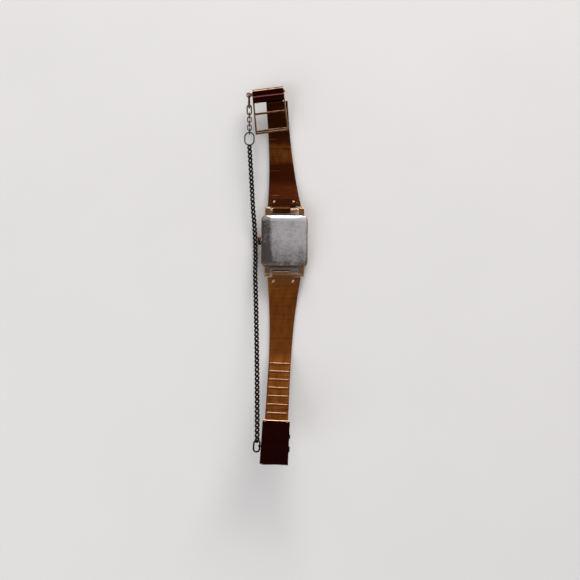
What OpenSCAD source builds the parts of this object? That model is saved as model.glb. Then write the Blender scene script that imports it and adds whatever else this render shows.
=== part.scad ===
// Quartz wristwatch with a mesh bracelet, a ladder and slide clasp and a safety chain.
// It lies face down: Z is 0 on the crystal's front face and +Z points out of the case back.
// +Y points to 12 o'clock. The crown, at 3 o'clock, points to -X.

/* [Case] */
// Width of the case middle across 3 and 9 o'clock
case_w = 19.4; // [18.6:0.1:21]
// Length of the case middle along the bracelet
case_l = 21.8; // [21.2:0.1:23]
// Height of the case middle above the bezel's front edge
case_h = 4.8; // [4.6:0.1:5.6]
// Radius of the case's corners
case_corner = 2.2; // [1.6:0.1:2.8]
// Wall between the movement's space and the outside
case_wall = 1.6; // [1.4:0.1:1.9]
// How far the crystal stands proud of the bezel
crystal_proud = 0.3; // [0.1:0.05:0.5]
// Thickness of the crystal
crystal_t = 1.2; // [1:0.1:1.4]
// Thickness of the case back at its middle
back_t = 0.9; // [0.8:0.05:1.2]
// Flat margin of the case middle around the case back
back_margin = 0.37; // [0.2:0.05:0.6]

/* [Lugs and spring bars] */
// Gap between a pair of lugs
lug_gap = 12; // [11:0.1:12.6]
// Width of one lug
lug_w = 2.2; // [1.6:0.1:2.4]
// Distance of a spring bar's axis from the middle of the case
bar_y = 13.5; // [13.2:0.1:14.5]
// Height of a spring bar's axis
bar_z = 3.0; // [2.8:0.1:3.2]
// Radius of a lug's tip
lug_r = 1.3; // [1.1:0.05:1.4]
// Radius of a spring bar's barrel
barrel_r = 0.65; // [0.6:0.01:0.7]
// Radius of a spring bar's tip
tip_r = 0.35; // [0.3:0.01:0.4]

/* [Dial and hands] */
// Thickness of the dial
dial_t = 0.3; // [0.2:0.05:0.4]
// Room between the crystal and the dial
hand_room = 1.2; // [1.1:0.1:1.5]
// Length of the minute hand
minute_l = 6.4; // [5:0.1:6.8]
// Length of the hour hand
hour_l = 4.4; // [3.5:0.1:4.8]

/* [Movement] */
// Width of the movement
move_w = 12.6; // [12.4:0.1:13]
// Length of the movement
move_l = 15.6; // [15.4:0.1:16]
// Thickness of the main plate
plate_t = 1.1; // [1.1:0.05:1.2]
// Radius of the battery
battery_r = 3.4; // [3:0.05:3.45]
// Thickness of the battery
battery_t = 2.1; // [1.6:0.1:2.1]

/* [Crown] */
// Radius of the crown
crown_r = 1.6; // [1.45:0.05:1.7]
// Length of the crown
crown_l = 1.4; // [1.3:0.05:1.8]
// Radius of the winding stem
stem_r = 0.4; // [0.35:0.01:0.45]

/* [Bracelet] */
// Thickness of the mesh
mesh_t = 1.0; // [0.8:0.05:1.2]
// Width of the mesh at the case
mesh_root_w = 14.1; // [13:0.1:15]
// Width of the mesh at the clasp
mesh_end_w = 9.2; // [8.5:0.1:9.6]
// Distance from the spring bar over which the mesh narrows
taper_l = 40; // [34:1:44]
// Distance from the spring bar to the bend where the mesh leaves the table
flat_end = 31.5; // [30:0.5:33]
// Slope of the lower half's free end
lower_incline = 21; // [14:1:24]
// Slope of the upper half's free end
upper_incline = 14; // [10:1:16]
// Lean of the lower half towards the crown
lower_lean = 2.5; // [1:0.1:3]
// Lean of the upper half towards the crown
upper_lean = 4.5; // [3:0.1:5]
// Number of stop ridges on the lower half
ridge_count = 7; // [5:1:7]
// Distance between the stop ridges
ridge_pitch = 3.37; // [3.2:0.01:3.5]
// Height of a stop ridge above the mesh
ridge_h = 0.35; // [0.2:0.05:0.4]

/* [Slide clasp] */
// Distance from the lower spring bar to the middle of the slide
slide_s = 66.9; // [66.5:0.1:70]
// Length of the slide
slide_l = 16.4; // [15:0.1:17.2]
// Thickness of the slide's side walls
slide_wall = 0.6; // [0.5:0.05:0.8]
// Height of the slide's side walls
slide_h = 3.75; // [3.6:0.05:4.2]
// Radius of the lid's hinge pin
lid_pin_r = 0.33; // [0.25:0.01:0.35]

/* [Ladder] */
// Distance from the upper spring bar to the ladder's hinge pin
ladder_s = 50.8; // [49:0.1:53]
// Length of the ladder from its hinge pin
ladder_l = 20.4; // [18:0.1:21.5]
// Outer width of the ladder
ladder_w = 13.8; // [13.2:0.1:14.6]
// Width of one rail of the ladder
rail_w = 0.7; // [0.5:0.05:0.9]
// Sideways offset of the ladder on its strap, towards the chain
ladder_offset = 3.45; // [3.2:0.05:3.6]
// Angle at which the folded ladder stands above the mesh
ladder_rise = 28; // [26:1:40]
// Skew of the ladder's hinge across the mesh's end
ladder_skew = 2.5; // [0:0.1:3]
// Radius of the ladder's hinge pin
ladder_pin_r = 0.5; // [0.4:0.05:0.6]

/* [Safety chain] */
// Longest distance between the middles of neighbouring links
chain_pitch = 1.95; // [1.8:0.05:2.1]
// Radius of the links' wire
wire_r = 0.22; // [0.18:0.01:0.23]
// Inner width of a link
link_in_w = 1.12; // [1:0.02:1.3]
// Length of the oval ring near the ladder
ring_l = 6.0; // [5.5:0.1:6.5]
// Width of the oval ring near the ladder
ring_w = 4.5; // [4:0.1:5]

/* [Hidden] */
$fn = 48;
clear = 0.05;
eps = 0.01;

// Heights through the case, from the crystal's front face up
bezel_z = crystal_proud;
ledge_t = 0.4;
ledge_z = crystal_t;
chamber_z = ledge_z + ledge_t;
dial_z = crystal_t + hand_room;
move_z = dial_z + dial_t;
plate_top = move_z + plate_t;
case_top = bezel_z + case_h;
back_top = case_top + back_t;

// Sizes across the case
inner_w = case_w - 2 * case_wall;
inner_l = case_l - 2 * case_wall;
inner_r = case_corner - 0.8;
seal_t = 0.35;
crystal_w = inner_w - 0.2;
crystal_l = inner_l - 0.2;
view_w = inner_w - 1.2;
view_l = inner_l - 1.2;
rim_h = 0.5;
rim_t = 0.5;
gasket_t = 0.5;
fit_gap = 0.1;
back_w = case_w - 2 * back_margin;
back_l = case_l - 2 * back_margin;

// Lugs and the pieces on the spring bars
lug_in = lug_gap / 2;
lug_hole_l = 1.3;
tip_hole_r = tip_r + clear;
tip_reach = 1.2;
barrel_end = lug_in - 0.6;
barrel_bore = barrel_r - 0.2;
barrel_cap = 0.3;
flange_t = 0.35;
spring_wire_r = 0.07;
spring_turns = 14;
tip_flange_x = barrel_end - barrel_cap - fit_gap - flange_t;
knuckle_r = 1.25;
knuckle_bore = barrel_r + clear;
knuckle_left = -(lug_in - 1);
knuckle_right = 2.5;
clip_plate_t = 0.4;
clip_l = 3.2;
clip_left = -5.4;
clip_right = 4.6;
shoulder_s = lug_r + 0.45;
rivet_r = 0.55;

// The bracelet's side shape: a slope from the bar, a bend to the table, a bend up and a slope
bend_in_r = 20;
bend_out_r = 12;
half_t = mesh_t / 2;
slope_in = solve_slope(11.5, 6);
slide_end = slide_s + slide_l / 2 - 0.6;
slide_in_w = mesh_end_w / 2 + 0.15;
slide_half_w = slide_in_w + slide_wall;
plate_gap = 0.3;
slide_plate_z = half_t + ridge_h + plate_gap;
slide_plate_t = 0.6;
slide_bottom = slide_plate_z + slide_plate_t - slide_h;
ridge_r = 0.4;
ridge_margin = 0.4;
ridge_first_s = 37.8;
lid_t = 0.5;
lid_knuckle_r = lid_pin_r + 0.27;
lid_pin_y = -slide_l / 2 + lid_knuckle_r + 0.25;
lid_pin_z = -(half_t + lid_knuckle_r + 0.15);
lid_gap = 0.1;
crossbar_t = 0.45;
crossbar_l = 1.0;
lock_l = 0.8;
eye_tab_l = 0.5;
eye_y = 1.75;
roll_r = 0.45;

// Ladder
pin_bore = ladder_pin_r + clear;
cap_knuckle_r = ladder_pin_r + 0.5;
cap_plate_t = 0.3;
cap_l = 3.1;
cap_end = cap_knuckle_r + 0.3;
cap_left = -(mesh_end_w / 2 + 0.1);
rail_h = 1.0;
rail_in = ladder_w / 2 - rail_w;
rail_mid = rail_in + rail_w / 2;
cap_right = rail_in - ladder_offset - 0.25;
hood_in = cap_knuckle_r + 0.4;
hood_t = 0.5;
hood_from = 12;
hood_to = 140;
lobe_r = 1.65;
lobe_v = hood_in + hood_t + lobe_r - 0.25;
lobe_w = 0.35;
rung_r = 0.45;
rung_v = ladder_l / 2;
bar_r = 0.42;
bar_gap = 0.95;
bar_v = ladder_l - bar_r - 0.1;
eye_major = 0.85;
eye_wire = 0.25;
pin_head_t = 0.2;

// Crown and stem
stem_z = move_z + 0.7;
tube_r = stem_r + 0.5;
tube_bore = stem_r + clear * 2;
crown_x = case_w / 2 + 0.2;
crown_face_t = 0.45;
tube_end = crown_x + crown_l - crown_face_t - 0.15;
seal_in = tube_r + 0.03;
seal_out = crown_r - 0.38;
crown_bore = seal_out + 0.03;
stem_in = 3.95;
groove_x = 5.6;
groove_w = 0.3;

// Gear train seen from the back: places of the arbors and the pitch radii
arbor_r = 0.12;
arbor_hole = arbor_r + clear;
center_wheel_r = 1.6;
third_pinion_r = center_wheel_r * 8 / 60;
third_wheel_r = 1.41;
fourth_pinion_r = third_wheel_r * 8 / 64;
fourth_wheel_r = 1.15;
fifth_pinion_r = fourth_wheel_r * 10 / 50;
fifth_wheel_r = 1.08;
rotor_pinion_r = fifth_wheel_r * 10 / 60;
third_at = polar(center_wheel_r + third_pinion_r, 65);
fourth_at = third_at + polar(third_wheel_r + fourth_pinion_r, 90);
fifth_at = fourth_at + polar(fourth_wheel_r + fifth_pinion_r, 115);
rotor_at = fifth_at + polar(fifth_wheel_r + rotor_pinion_r, 180);
wheel_t = 0.12;
low_wheel_z = plate_top + 0.25;
high_wheel_z = plate_top + 0.55;
bridge_z = plate_top + 0.8;
bridge_t = 0.25;
arbor_foot = plate_top - 0.25;
center_arbor_r = 0.15;
cannon_bore = center_arbor_r + 0.03;
cannon_r = 0.3;
hour_bore = cannon_r + clear;
hour_tube_r = 0.5;
dial_hole_r = 0.6;
works_step = 1.4;
cannon_gear_r = works_step / 4;
minute_wheel_r = works_step * 3 / 4;
minute_pinion_r = works_step / 5;
hour_wheel_r = works_step * 4 / 5;
setting_wheel_r = 0.7;
minute_at = [-works_step, 0];
setting_at = [-works_step - minute_wheel_r - setting_wheel_r, 0];
works_top = move_z + 0.6;
hour_wheel_z = move_z + 0.05;
minute_wheel_z = move_z + 0.3;
post_r = 0.12;
battery_at = [move_w / 2 - battery_r - 0.05, -(move_l / 2 - battery_r - 0.1)];
battery_z = plate_top + 1.3 - battery_t;
magnet_r = 0.7;
coil_at = [-4.8, 4.3];
coil_r = 0.95;
coil_l = 4.0;
core_l = 5.6;
lever_at = [-5.2, -2.6];
pillars = [[-2.6, 1.0], [2.15, -0.35], [1.9, 6.3]];
pillar_r = 0.42;
screw_r = 0.22;
clamp_at = [-2.7, battery_at[1]];
clamp_w = 1.6;
clamp_t = 0.15;

// Hands: their height and the time that they show
minute_hand_z = crystal_t + 0.35;
hour_hand_z = crystal_t + 0.75;
hand_t = 0.1;
shown_minute = 10;
shown_hour = 10;

// Chain: the links' sizes and the points where the three runs meet
link_in_l = chain_pitch + 0.1;
joint_x_upper = -13.4;
joint_x_lower = -12.2;
upper_joint = [joint_x_upper, bar_y, bar_z];
lower_joint = [joint_x_lower, -bar_y, bar_z];
oval_wire = 0.27;
oval_at = [-15.25, bar_y + 30.5, bar_z + 1.0];
oval_foot = oval_at - [0, ring_l / 2 - oval_wire, 0];
oval_head = oval_at + [0, ring_l / 2 - oval_wire, 0];
jump_l = 4.6;
jump_w = 2.7;
jump_wire = 0.2;
jump_x = -(slide_half_w + 0.55 + jump_w / 2 - jump_wire);
// Inner length, inner width and wire radius of the links from the oval ring to the ladder's pin
head_links = concat([for (i = [1:5]) [link_in_l, link_in_w, wire_r]], [[3.5, 1.2, 0.3], [4.7, 1.3, 0.4]]);

// Colours
gold = [0.72, 0.55, 0.32];
steel = [0.7, 0.68, 0.64];
dark = [0.25, 0.2, 0.15];
brass = [0.8, 0.68, 0.4];

// A place in a plan from a radius and an angle
function polar(r, a) = [r * cos(a), r * sin(a)];

// The slope at which the mesh leaves the bar, so that it meets the table's bend at a fixed distance
function slope_reach(a) = (bar_z - half_t - bend_in_r * (1 - cos(a))) / tan(a) + bend_in_r * sin(a);
function solve_slope(a, n) = n == 0 ? a : solve_slope(a * slope_reach(a) / 14.3, n - 1);

// Height of the mesh's middle above the table at a distance s from the spring bar
function mesh_z(s, incline) =
    let (foot = slope_reach(slope_in), lift = bend_out_r * sin(incline))
    s < foot - bend_in_r * sin(slope_in) ? bar_z - s * tan(slope_in) :
    s < foot ? half_t + bend_in_r - sqrt(pow(bend_in_r, 2) - pow(foot - s, 2)) :
    s < flat_end ? half_t :
    s < flat_end + lift ? half_t + bend_out_r - sqrt(pow(bend_out_r, 2) - pow(s - flat_end, 2)) :
    half_t + bend_out_r * (1 - cos(incline)) + (s - flat_end - lift) * tan(incline);

// Width of the mesh at a distance s from the spring bar
function mesh_w(s) =
    mesh_end_w + (mesh_root_w - mesh_end_w) * pow(max(0, 1 - (s - shoulder_s) / (taper_l - shoulder_s)), 2.1);

// Stations along the mesh, closer together where it bends
function stations(last) = let (foot = slope_reach(slope_in), start = foot - bend_in_r * sin(slope_in))
    concat([for (i = [0:4]) shoulder_s + (start - shoulder_s) * i / 4],
        [for (i = [1:3]) start + (foot - start) * i / 3],
        [for (i = [1:5]) foot + (flat_end - foot) * i / 5],
        [for (i = [1:5]) flat_end + (bend_out_r * 0.36) * i / 5],
        [last]);

// Turning a point about X and about Z
function turn_x(p, a) = [p[0], p[1] * cos(a) - p[2] * sin(a), p[1] * sin(a) + p[2] * cos(a)];
function turn_z(p, a) = [p[0] * cos(a) - p[1] * sin(a), p[0] * sin(a) + p[1] * cos(a), p[2]];
function plan_turn(lean, incline) = atan(tan(lean) * cos(incline));

// The row place of a point given on a strap's free end, on the upper half and on the lower half
function on_strap(s, lean, incline, p) =
    [-s * tan(lean), s, mesh_z(s, incline) - bar_z] + turn_x(turn_z(p, plan_turn(lean, incline)), incline);
function on_upper(s, p) = let (q = on_strap(s, upper_lean, upper_incline, p))
    [q[0], bar_y + q[1], bar_z + q[2]];
function on_lower(s, p) = let (q = on_strap(s, lower_lean, lower_incline, p))
    [q[0], -bar_y - q[1], bar_z + q[2]];

// Places modules on the upper or the lower half of the bracelet, with the hinge axis at the origin
module upper_half() {
    translate([0, bar_y, bar_z]) children();
}
module lower_half() {
    translate([0, -bar_y, bar_z]) mirror([0, 1, 0]) children();
}

// Places modules at a distance s along the free end, with Z square to the mesh
module free_end(s, lean, incline) {
    translate([-s * tan(lean), s, mesh_z(s, incline) - bar_z])
        rotate([incline, 0, 0]) rotate([0, 0, plan_turn(lean, incline)]) children();
}
module upper_end(s) {
    upper_half() free_end(s, upper_lean, upper_incline) children();
}
module ladder_place() {
    upper_end(ladder_s) rotate([0, 0, ladder_skew]) children();
}
module lower_end(s) {
    lower_half() free_end(s, lower_lean, lower_incline) children();
}

// A rectangle with round corners, centred
module rounded(w, l, r) {
    square([w - 2 * r, l], center = true);
    square([w, l - 2 * r], center = true);
    for (x = [-1, 1], y = [-1, 1]) translate([x * (w / 2 - r), y * (l / 2 - r)]) circle(r);
}

// A plate or a ring with round corners, from z0 to z1
module slab(w, l, r, z0, z1) {
    translate([0, 0, z0]) linear_extrude(z1 - z0) rounded(w, l, r);
}
module frame_ring(w, l, r, t, z0, z1) {
    translate([0, 0, z0]) linear_extrude(z1 - z0) difference() {
        rounded(w, l, r);
        rounded(w - 2 * t, l - 2 * t, max(0.2, r - t));
    }
}

// A cylinder along X from x0 to x1
module rod_x(r, x0, x1) {
    translate([x0, 0, 0]) rotate([0, 90, 0]) cylinder(r = r, h = x1 - x0);
}

// A box given by its lowest and highest corner
module block(lo, hi) {
    translate(lo) cube(hi - lo);
}

// A toothed disc with a bore
module gear(teeth, r, t, bore) {
    m = 2 * r / teeth;
    linear_extrude(t) difference() {
        polygon([for (i = [0:2 * teeth - 1]) polar(i % 2 == 0 ? r + 0.7 * m : r - 0.9 * m, i * 180 / teeth)]);
        circle(bore);
    }
}

// A chain link in the plane of X and Y, long along Y
module link(in_l, in_w, r) {
    bend = in_w / 2 + r;
    straight = in_l / 2 - in_w / 2;
    for (side = [0, 180]) rotate([0, 0, side]) {
        translate([0, straight, 0]) rotate_extrude(angle = 180) translate([bend, 0]) circle(r, $fn = 24);
        translate([bend, straight, 0]) rotate([90, 0, 0]) cylinder(r = r, h = 2 * straight, $fn = 24);
    }
}

// Places a module at a point with Y along a direction, rolled about it
module along(p, d, roll) {
    flat = norm([d[0], d[1]]);
    translate(p) rotate([0, 0, atan2(-d[0], d[1])]) rotate([atan2(d[2], flat), 0, 0]) rotate([0, roll, 0])
        children();
}

// A run of links from anchor a to anchor b on a bowed line
function bow_at(a, b, bow, t) = a + (b - a) * t + bow * 4 * t * (1 - t);
function bow_dir(a, b, bow, t) = (b - a) + bow * 4 * (1 - 2 * t);
module chain_run(a, b, bow, roll, inset) {
    run_l = norm(b - a) + 8 / 3 * pow(norm(bow), 2) / norm(b - a);
    free_l = run_l - 2 * inset;
    steps = 2 * ceil(free_l / (2 * chain_pitch));
    for (i = [0:steps]) {
        t = (inset + free_l * i / steps) / run_l;
        along(bow_at(a, b, bow, t), bow_dir(a, b, bow, t), i % 2 == 0 ? roll : 90 - roll)
            link(link_in_l, link_in_w, wire_r);
    }
}
hook_inset = (link_in_l - link_in_w) / 2;
bar_inset = link_in_l / 2 + wire_r;

// Case
module case_middle() {
    color(gold) difference() {
        union() {
            hull() {
                slab(case_w - 0.8, case_l - 0.8, case_corner - 0.4, bezel_z, bezel_z + eps, $fn = 32);
                slab(case_w, case_l, case_corner, bezel_z + 0.5, case_top - 0.4, $fn = 32);
                slab(case_w - 0.3, case_l - 0.3, case_corner - 0.15, case_top - eps, case_top, $fn = 32);
            }
            for (x = [-1, 1], y = [-1, 1]) lug(x, y);
        }
        slab(crystal_w + 2 * seal_t, crystal_l + 2 * seal_t, inner_r + 0.2, 0, ledge_z);
        slab(view_w, view_l, inner_r - 0.4, 0, case_top);
        slab(inner_w, inner_l, inner_r, chamber_z, case_top + 1);
        slab(inner_w + 2 * gasket_t, inner_l + 2 * gasket_t, inner_r + 0.2, case_top - rim_h, case_top + 1);
        translate([0, 0, stem_z]) rod_x(tube_r, -case_w, 0);
        for (y = [-1, 1]) translate([0, y * bar_y, bar_z])
            rod_x(tip_hole_r, -lug_in - lug_hole_l, lug_in + lug_hole_l);
    }
}

module lug(x, y) {
    root_y = case_l / 2 - 0.6;
    translate([x * (lug_in + lug_w / 2), 0, 0]) rotate([90, 0, 90])
        linear_extrude(lug_w, center = true) scale_y(y) {
            translate([bar_y, bar_z]) circle(lug_r);
            polygon([[root_y, bezel_z + 0.6], [bar_y, bar_z - lug_r], [bar_y, bar_z + lug_r],
                [root_y, case_top - 0.5]]);
        }
}
module scale_y(y) {
    mirror([y < 0 ? 1 : 0, 0]) children();
}

module case_back() {
    color(steel) difference() {
        union() {
            hull() {
                slab(back_w, back_l, case_corner - back_margin, case_top, case_top + 0.35, $fn = 32);
                slab(back_w - 1.2, back_l - 1.4, case_corner - 0.8, case_top, back_top - 0.2, $fn = 32);
                slab(back_w - 4.5, back_l - 5.5, case_corner, case_top, back_top, $fn = 32);
            }
            slab(inner_w - fit_gap, inner_l - fit_gap, inner_r, case_top - rim_h, case_top + eps);
        }
        slab(inner_w - fit_gap - 2 * rim_t, inner_l - fit_gap - 2 * rim_t, inner_r - 0.2,
            case_top - rim_h - eps, case_top + 0.35);
    }
}

module back_gasket() {
    color("dimgray") frame_ring(inner_w + 2 * gasket_t, inner_l + 2 * gasket_t, inner_r + 0.2,
        gasket_t, case_top - rim_h, case_top);
}

module crystal() {
    color([0.85, 0.9, 0.92, 0.4]) slab(crystal_w, crystal_l, inner_r - 0.1, 0, crystal_t);
}

module crystal_gasket() {
    color("gainsboro") frame_ring(crystal_w + 2 * seal_t, crystal_l + 2 * seal_t, inner_r + 0.2,
        seal_t, bezel_z, ledge_z);
}

// Dial side
module dial_ring() {
    color(gold) frame_ring(inner_w, inner_l, inner_r, 0.6, chamber_z, dial_z);
}

module dial() {
    color("ivory") difference() {
        slab(inner_w - fit_gap, inner_l - fit_gap, inner_r, dial_z, move_z);
        translate([0, 0, dial_z - 1]) cylinder(r = dial_hole_r, h = 3);
    }
}

module hour_markers() {
    marker_h = 0.12;
    marker_w = 0.32;
    for (h = [0:11]) {
        a = 30 * h;
        long = h % 3 == 0 ? 1.6 : 1.0;
        reach = min((view_w / 2 - 0.9) / max(eps, abs(sin(a))), (view_l / 2 - 0.9) / max(eps, abs(cos(a))));
        color(gold) rotate([0, 0, a])
            block([-marker_w / 2, reach - long, dial_z - marker_h], [marker_w / 2, reach, dial_z]);
    }
}

// A baton hand with its hub; the angle turns from 12 towards 3 o'clock, which is towards -X
module hand(l, w, z, hub_r, bore, angle) {
    translate([0, 0, z]) rotate([0, 0, angle]) linear_extrude(hand_t) difference() {
        union() {
            circle(hub_r);
            polygon([[-w * 0.35, -1.1], [w * 0.35, -1.1], [w / 2, l * 0.55], [0, l], [-w / 2, l * 0.55]]);
        }
        circle(bore);
    }
}

module minute_hand() {
    color("dimgray") hand(minute_l, 0.45, minute_hand_z, 0.55, cannon_r, shown_minute * 6);
}

module hour_hand() {
    color("dimgray") hand(hour_l, 0.6, hour_hand_z, 0.75, hour_tube_r, shown_hour * 30 + shown_minute / 2);
}

// Movement
module movement_holder() {
    color("white") difference() {
        slab(inner_w - fit_gap, inner_l - fit_gap, inner_r, move_z, case_top - rim_h);
        slab(move_w + fit_gap, move_l + fit_gap, 0.6, move_z - 1, case_top);
        translate([0, 0, stem_z]) rod_x(tube_r + fit_gap, -case_w, 0);
    }
}

module main_plate() {
    color(brass) difference() {
        slab(move_w, move_l, 0.6, move_z, plate_top);
        // Motion works on the dial side
        for (p = [
            [[0, 0], hour_wheel_r + 0.25],
            [minute_at, minute_wheel_r + 0.2],
            [setting_at, setting_wheel_r + 0.2]
        ])
            translate([p[0][0], p[0][1], move_z - 1]) cylinder(r = p[1], h = works_top - move_z + 1);
        translate([0, 0, move_z]) cylinder(r = center_arbor_r + clear, h = 3);
        // Channel of the stem and its clutch
        block([-move_w, -0.65, stem_z - 0.6], [setting_at[0] - 0.2, 0.65, plate_top + 1]);
        // Battery, stator and coil
        translate([battery_at[0], battery_at[1], battery_z]) cylinder(r = battery_r + clear, h = 5);
        translate([0, 0, plate_top - 0.6]) linear_extrude(2) stator_outline(0.05);
        translate([rotor_at[0], rotor_at[1], plate_top - 0.75]) cylinder(r = magnet_r + 0.15, h = 2);
        block([coil_at[0] - coil_r - 0.1, coil_at[1] - coil_l / 2 - 0.2, plate_top - 0.95],
            [coil_at[0] + coil_r + 0.1, coil_at[1] + coil_l / 2 + 0.2, plate_top + 1]);
        // Pivot holes and screw holes
        for (p = [third_at, fourth_at, fifth_at, rotor_at]) translate([p[0], p[1], arbor_foot - 1])
            cylinder(r = arbor_hole, h = 3, $fn = 24);
        for (p = pillars) translate([p[0], p[1], plate_top - 0.5]) cylinder(r = screw_r, h = 1, $fn = 24);
        for (p = [lever_at, clamp_at]) translate([p[0], p[1], plate_top - 0.7])
            cylinder(r = screw_r, h = 1, $fn = 24);
    }
    color(brass) for (p = [minute_at, setting_at]) translate([p[0], p[1], hour_wheel_z])
        cylinder(r = post_r, h = works_top - hour_wheel_z + eps, $fn = 24);
}

module train_bridge() {
    color(steel) difference() {
        union() {
            translate([0, 0, bridge_z]) linear_extrude(bridge_t)
                polygon([
                    [-3.1, 0.5], [-2.9, 1.5], [-2.2, 2.2], [-2.2, 5.2], [-1.2, 6.9], [2.4, 6.9], [2.4, 3],
                    [1.5, 2.2], [2.7, 0.1], [2.6, -0.8], [1.5, -0.85], [-0.6, -0.9], [-1.4, -0.2]]);
            for (p = pillars) translate([p[0], p[1], plate_top])
                cylinder(r = pillar_r, h = bridge_z - plate_top + eps);
        }
        for (p = pillars) translate([p[0], p[1], plate_top - 1]) cylinder(r = screw_r, h = 4, $fn = 24);
        for (p = [[0, 0], third_at, fourth_at, fifth_at, rotor_at])
            translate([p[0], p[1], bridge_z - 1]) cylinder(r = center_arbor_r + clear, h = 3, $fn = 24);
    }
}

module circuit_board() {
    color("seagreen") difference() {
        block([2.7, 0.6, plate_top], [move_w / 2 - 0.2, 7.4, plate_top + 0.2]);
        translate([pillars[2][0], pillars[2][1], plate_top - 1]) cylinder(r = 0.9, h = 3);
    }
    color([0.1, 0.1, 0.1]) block([2.9, 4.3, plate_top + 0.2], [4.3, 5.9, plate_top + 0.65]);
}

module quartz_resonator() {
    can_r = 0.6;
    color("silver") translate([move_w / 2 - 0.95, 1.2, plate_top + 0.2 + can_r]) rotate([-90, 0, 0]) {
        cylinder(r = can_r, h = 4.8);
        for (x = [-0.25, 0.25]) translate([x, 0, 4.8]) cylinder(r = 0.1, h = 0.8, $fn = 16);
    }
}

module coil_winding() {
    color([0.7, 0.35, 0.15]) translate([coil_at[0], coil_at[1] - coil_l / 2, plate_top]) rotate([-90, 0, 0])
        difference() {
            cylinder(r = coil_r, h = coil_l);
            translate([-0.3, -0.3, -1]) cube([0.6, 0.6, coil_l + 2]);
        }
}

module coil_core() {
    color(steel) block([coil_at[0] - 0.3, coil_at[1] - core_l / 2, plate_top - 0.3],
        [coil_at[0] + 0.3, coil_at[1] + core_l / 2, plate_top + 0.3]);
}

// The stator's plan: a column round the rotor and two arms that reach under the coil's core
module stator_outline(grow) {
    foot_y = coil_at[1] - core_l / 2 - grow;
    head_y = coil_at[1] + core_l / 2 + grow;
    left_x = coil_at[0] - 0.3 - grow;
    right_x = rotor_at[0] + 1.05 + grow;
    arm_w = 0.6 + 2 * grow;
    translate([rotor_at[0] - 1.05 - grow, foot_y]) square([2.1 + 2 * grow, head_y - foot_y]);
    for (y = [foot_y, head_y - arm_w]) translate([left_x, y]) square([right_x - left_x, arm_w]);
}

module stator() {
    color("silver") translate([0, 0, plate_top - 0.6]) linear_extrude(0.3) difference() {
        stator_outline(0);
        translate(rotor_at) circle(magnet_r + 0.15);
    }
}

// A wheel and its pinion on one arbor
module train_piece(at, wheel_teeth, wheel_r, wheel_z, pinion_teeth, pinion_r, pinion_z) {
    translate([at[0], at[1], 0]) {
        translate([0, 0, arbor_foot]) cylinder(r = arbor_r, h = bridge_z + 0.2 - arbor_foot, $fn = 24);
        translate([0, 0, wheel_z]) gear(wheel_teeth, wheel_r, wheel_t, arbor_r - eps);
        translate([0, 0, pinion_z]) gear(pinion_teeth, pinion_r, 0.3, arbor_r - eps);
    }
}

module rotor() {
    color("dimgray") {
        translate([rotor_at[0], rotor_at[1], plate_top - 0.65]) cylinder(r = magnet_r, h = 0.6);
        train_piece(rotor_at, 12, arbor_r + 0.05, plate_top - 0.1, 10, rotor_pinion_r, low_wheel_z - 0.08);
    }
}
module fifth_wheel() {
    color(brass)
        train_piece(fifth_at, 60, fifth_wheel_r, low_wheel_z, 10, fifth_pinion_r, high_wheel_z - 0.12);
}
module fourth_wheel() {
    color(brass)
        train_piece(fourth_at, 50, fourth_wheel_r, high_wheel_z, 8, fourth_pinion_r, low_wheel_z - 0.12);
}
module third_wheel() {
    color(brass)
        train_piece(third_at, 64, third_wheel_r, low_wheel_z, 8, third_pinion_r, high_wheel_z - 0.12);
}
module center_wheel() {
    color(brass) {
        translate([0, 0, minute_hand_z + 0.1])
            cylinder(r = center_arbor_r, h = bridge_z + 0.2 - minute_hand_z - 0.1, $fn = 24);
        translate([0, 0, high_wheel_z]) gear(60, center_wheel_r, wheel_t, center_arbor_r - eps);
    }
}

module cannon_pinion() {
    color(steel) difference() {
        union() {
            translate([0, 0, minute_hand_z - 0.05])
                cylinder(r = cannon_r, h = works_top - 0.1 - minute_hand_z);
            translate([0, 0, minute_wheel_z - 0.04]) gear(10, cannon_gear_r, 0.22, cannon_bore);
        }
        translate([0, 0, minute_hand_z - 1]) cylinder(r = cannon_bore, h = 4, $fn = 24);
    }
}

module minute_wheel() {
    color(brass) translate([minute_at[0], minute_at[1], 0]) {
        translate([0, 0, minute_wheel_z]) gear(30, minute_wheel_r, wheel_t, post_r + clear);
        translate([0, 0, hour_wheel_z])
            gear(8, minute_pinion_r, minute_wheel_z - hour_wheel_z, post_r + clear);
    }
}

module hour_wheel() {
    color(brass) difference() {
        union() {
            translate([0, 0, hour_wheel_z]) gear(32, hour_wheel_r, wheel_t, hour_bore);
            translate([0, 0, hour_hand_z])
                cylinder(r = hour_tube_r, h = hour_wheel_z + wheel_t - hour_hand_z);
        }
        translate([0, 0, hour_hand_z - 1]) cylinder(r = hour_bore, h = 4);
    }
}

module setting_wheel() {
    color(steel) translate([setting_at[0], setting_at[1], minute_wheel_z])
        gear(20, setting_wheel_r, wheel_t, post_r + clear);
}

module setting_lever() {
    lever_t = 0.15;
    color(steel) difference() {
        union() {
            translate([0, 0, plate_top + 0.02]) linear_extrude(lever_t) {
                translate(lever_at) circle(0.5);
                translate([-groove_x, 0]) circle(0.4);
                polygon([
                    lever_at + [-0.42, 0],
                    lever_at + [0.42, 0],
                    [-groove_x + 0.36, 0],
                    [-groove_x - 0.36, 0]
                ]);
            }
            translate([-groove_x, 0, stem_z + stem_r - 0.12])
                cylinder(r = groove_w / 2 - clear, h = plate_top - stem_z - stem_r + 0.2, $fn = 16);
        }
        translate([lever_at[0], lever_at[1], plate_top - 1]) cylinder(r = screw_r + clear, h = 3, $fn = 24);
    }
}

module battery() {
    color("silver") translate([battery_at[0], battery_at[1], battery_z]) {
        cylinder(r = battery_r, h = battery_t - 0.3);
        cylinder(r = battery_r - 0.35, h = battery_t);
    }
}

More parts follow.
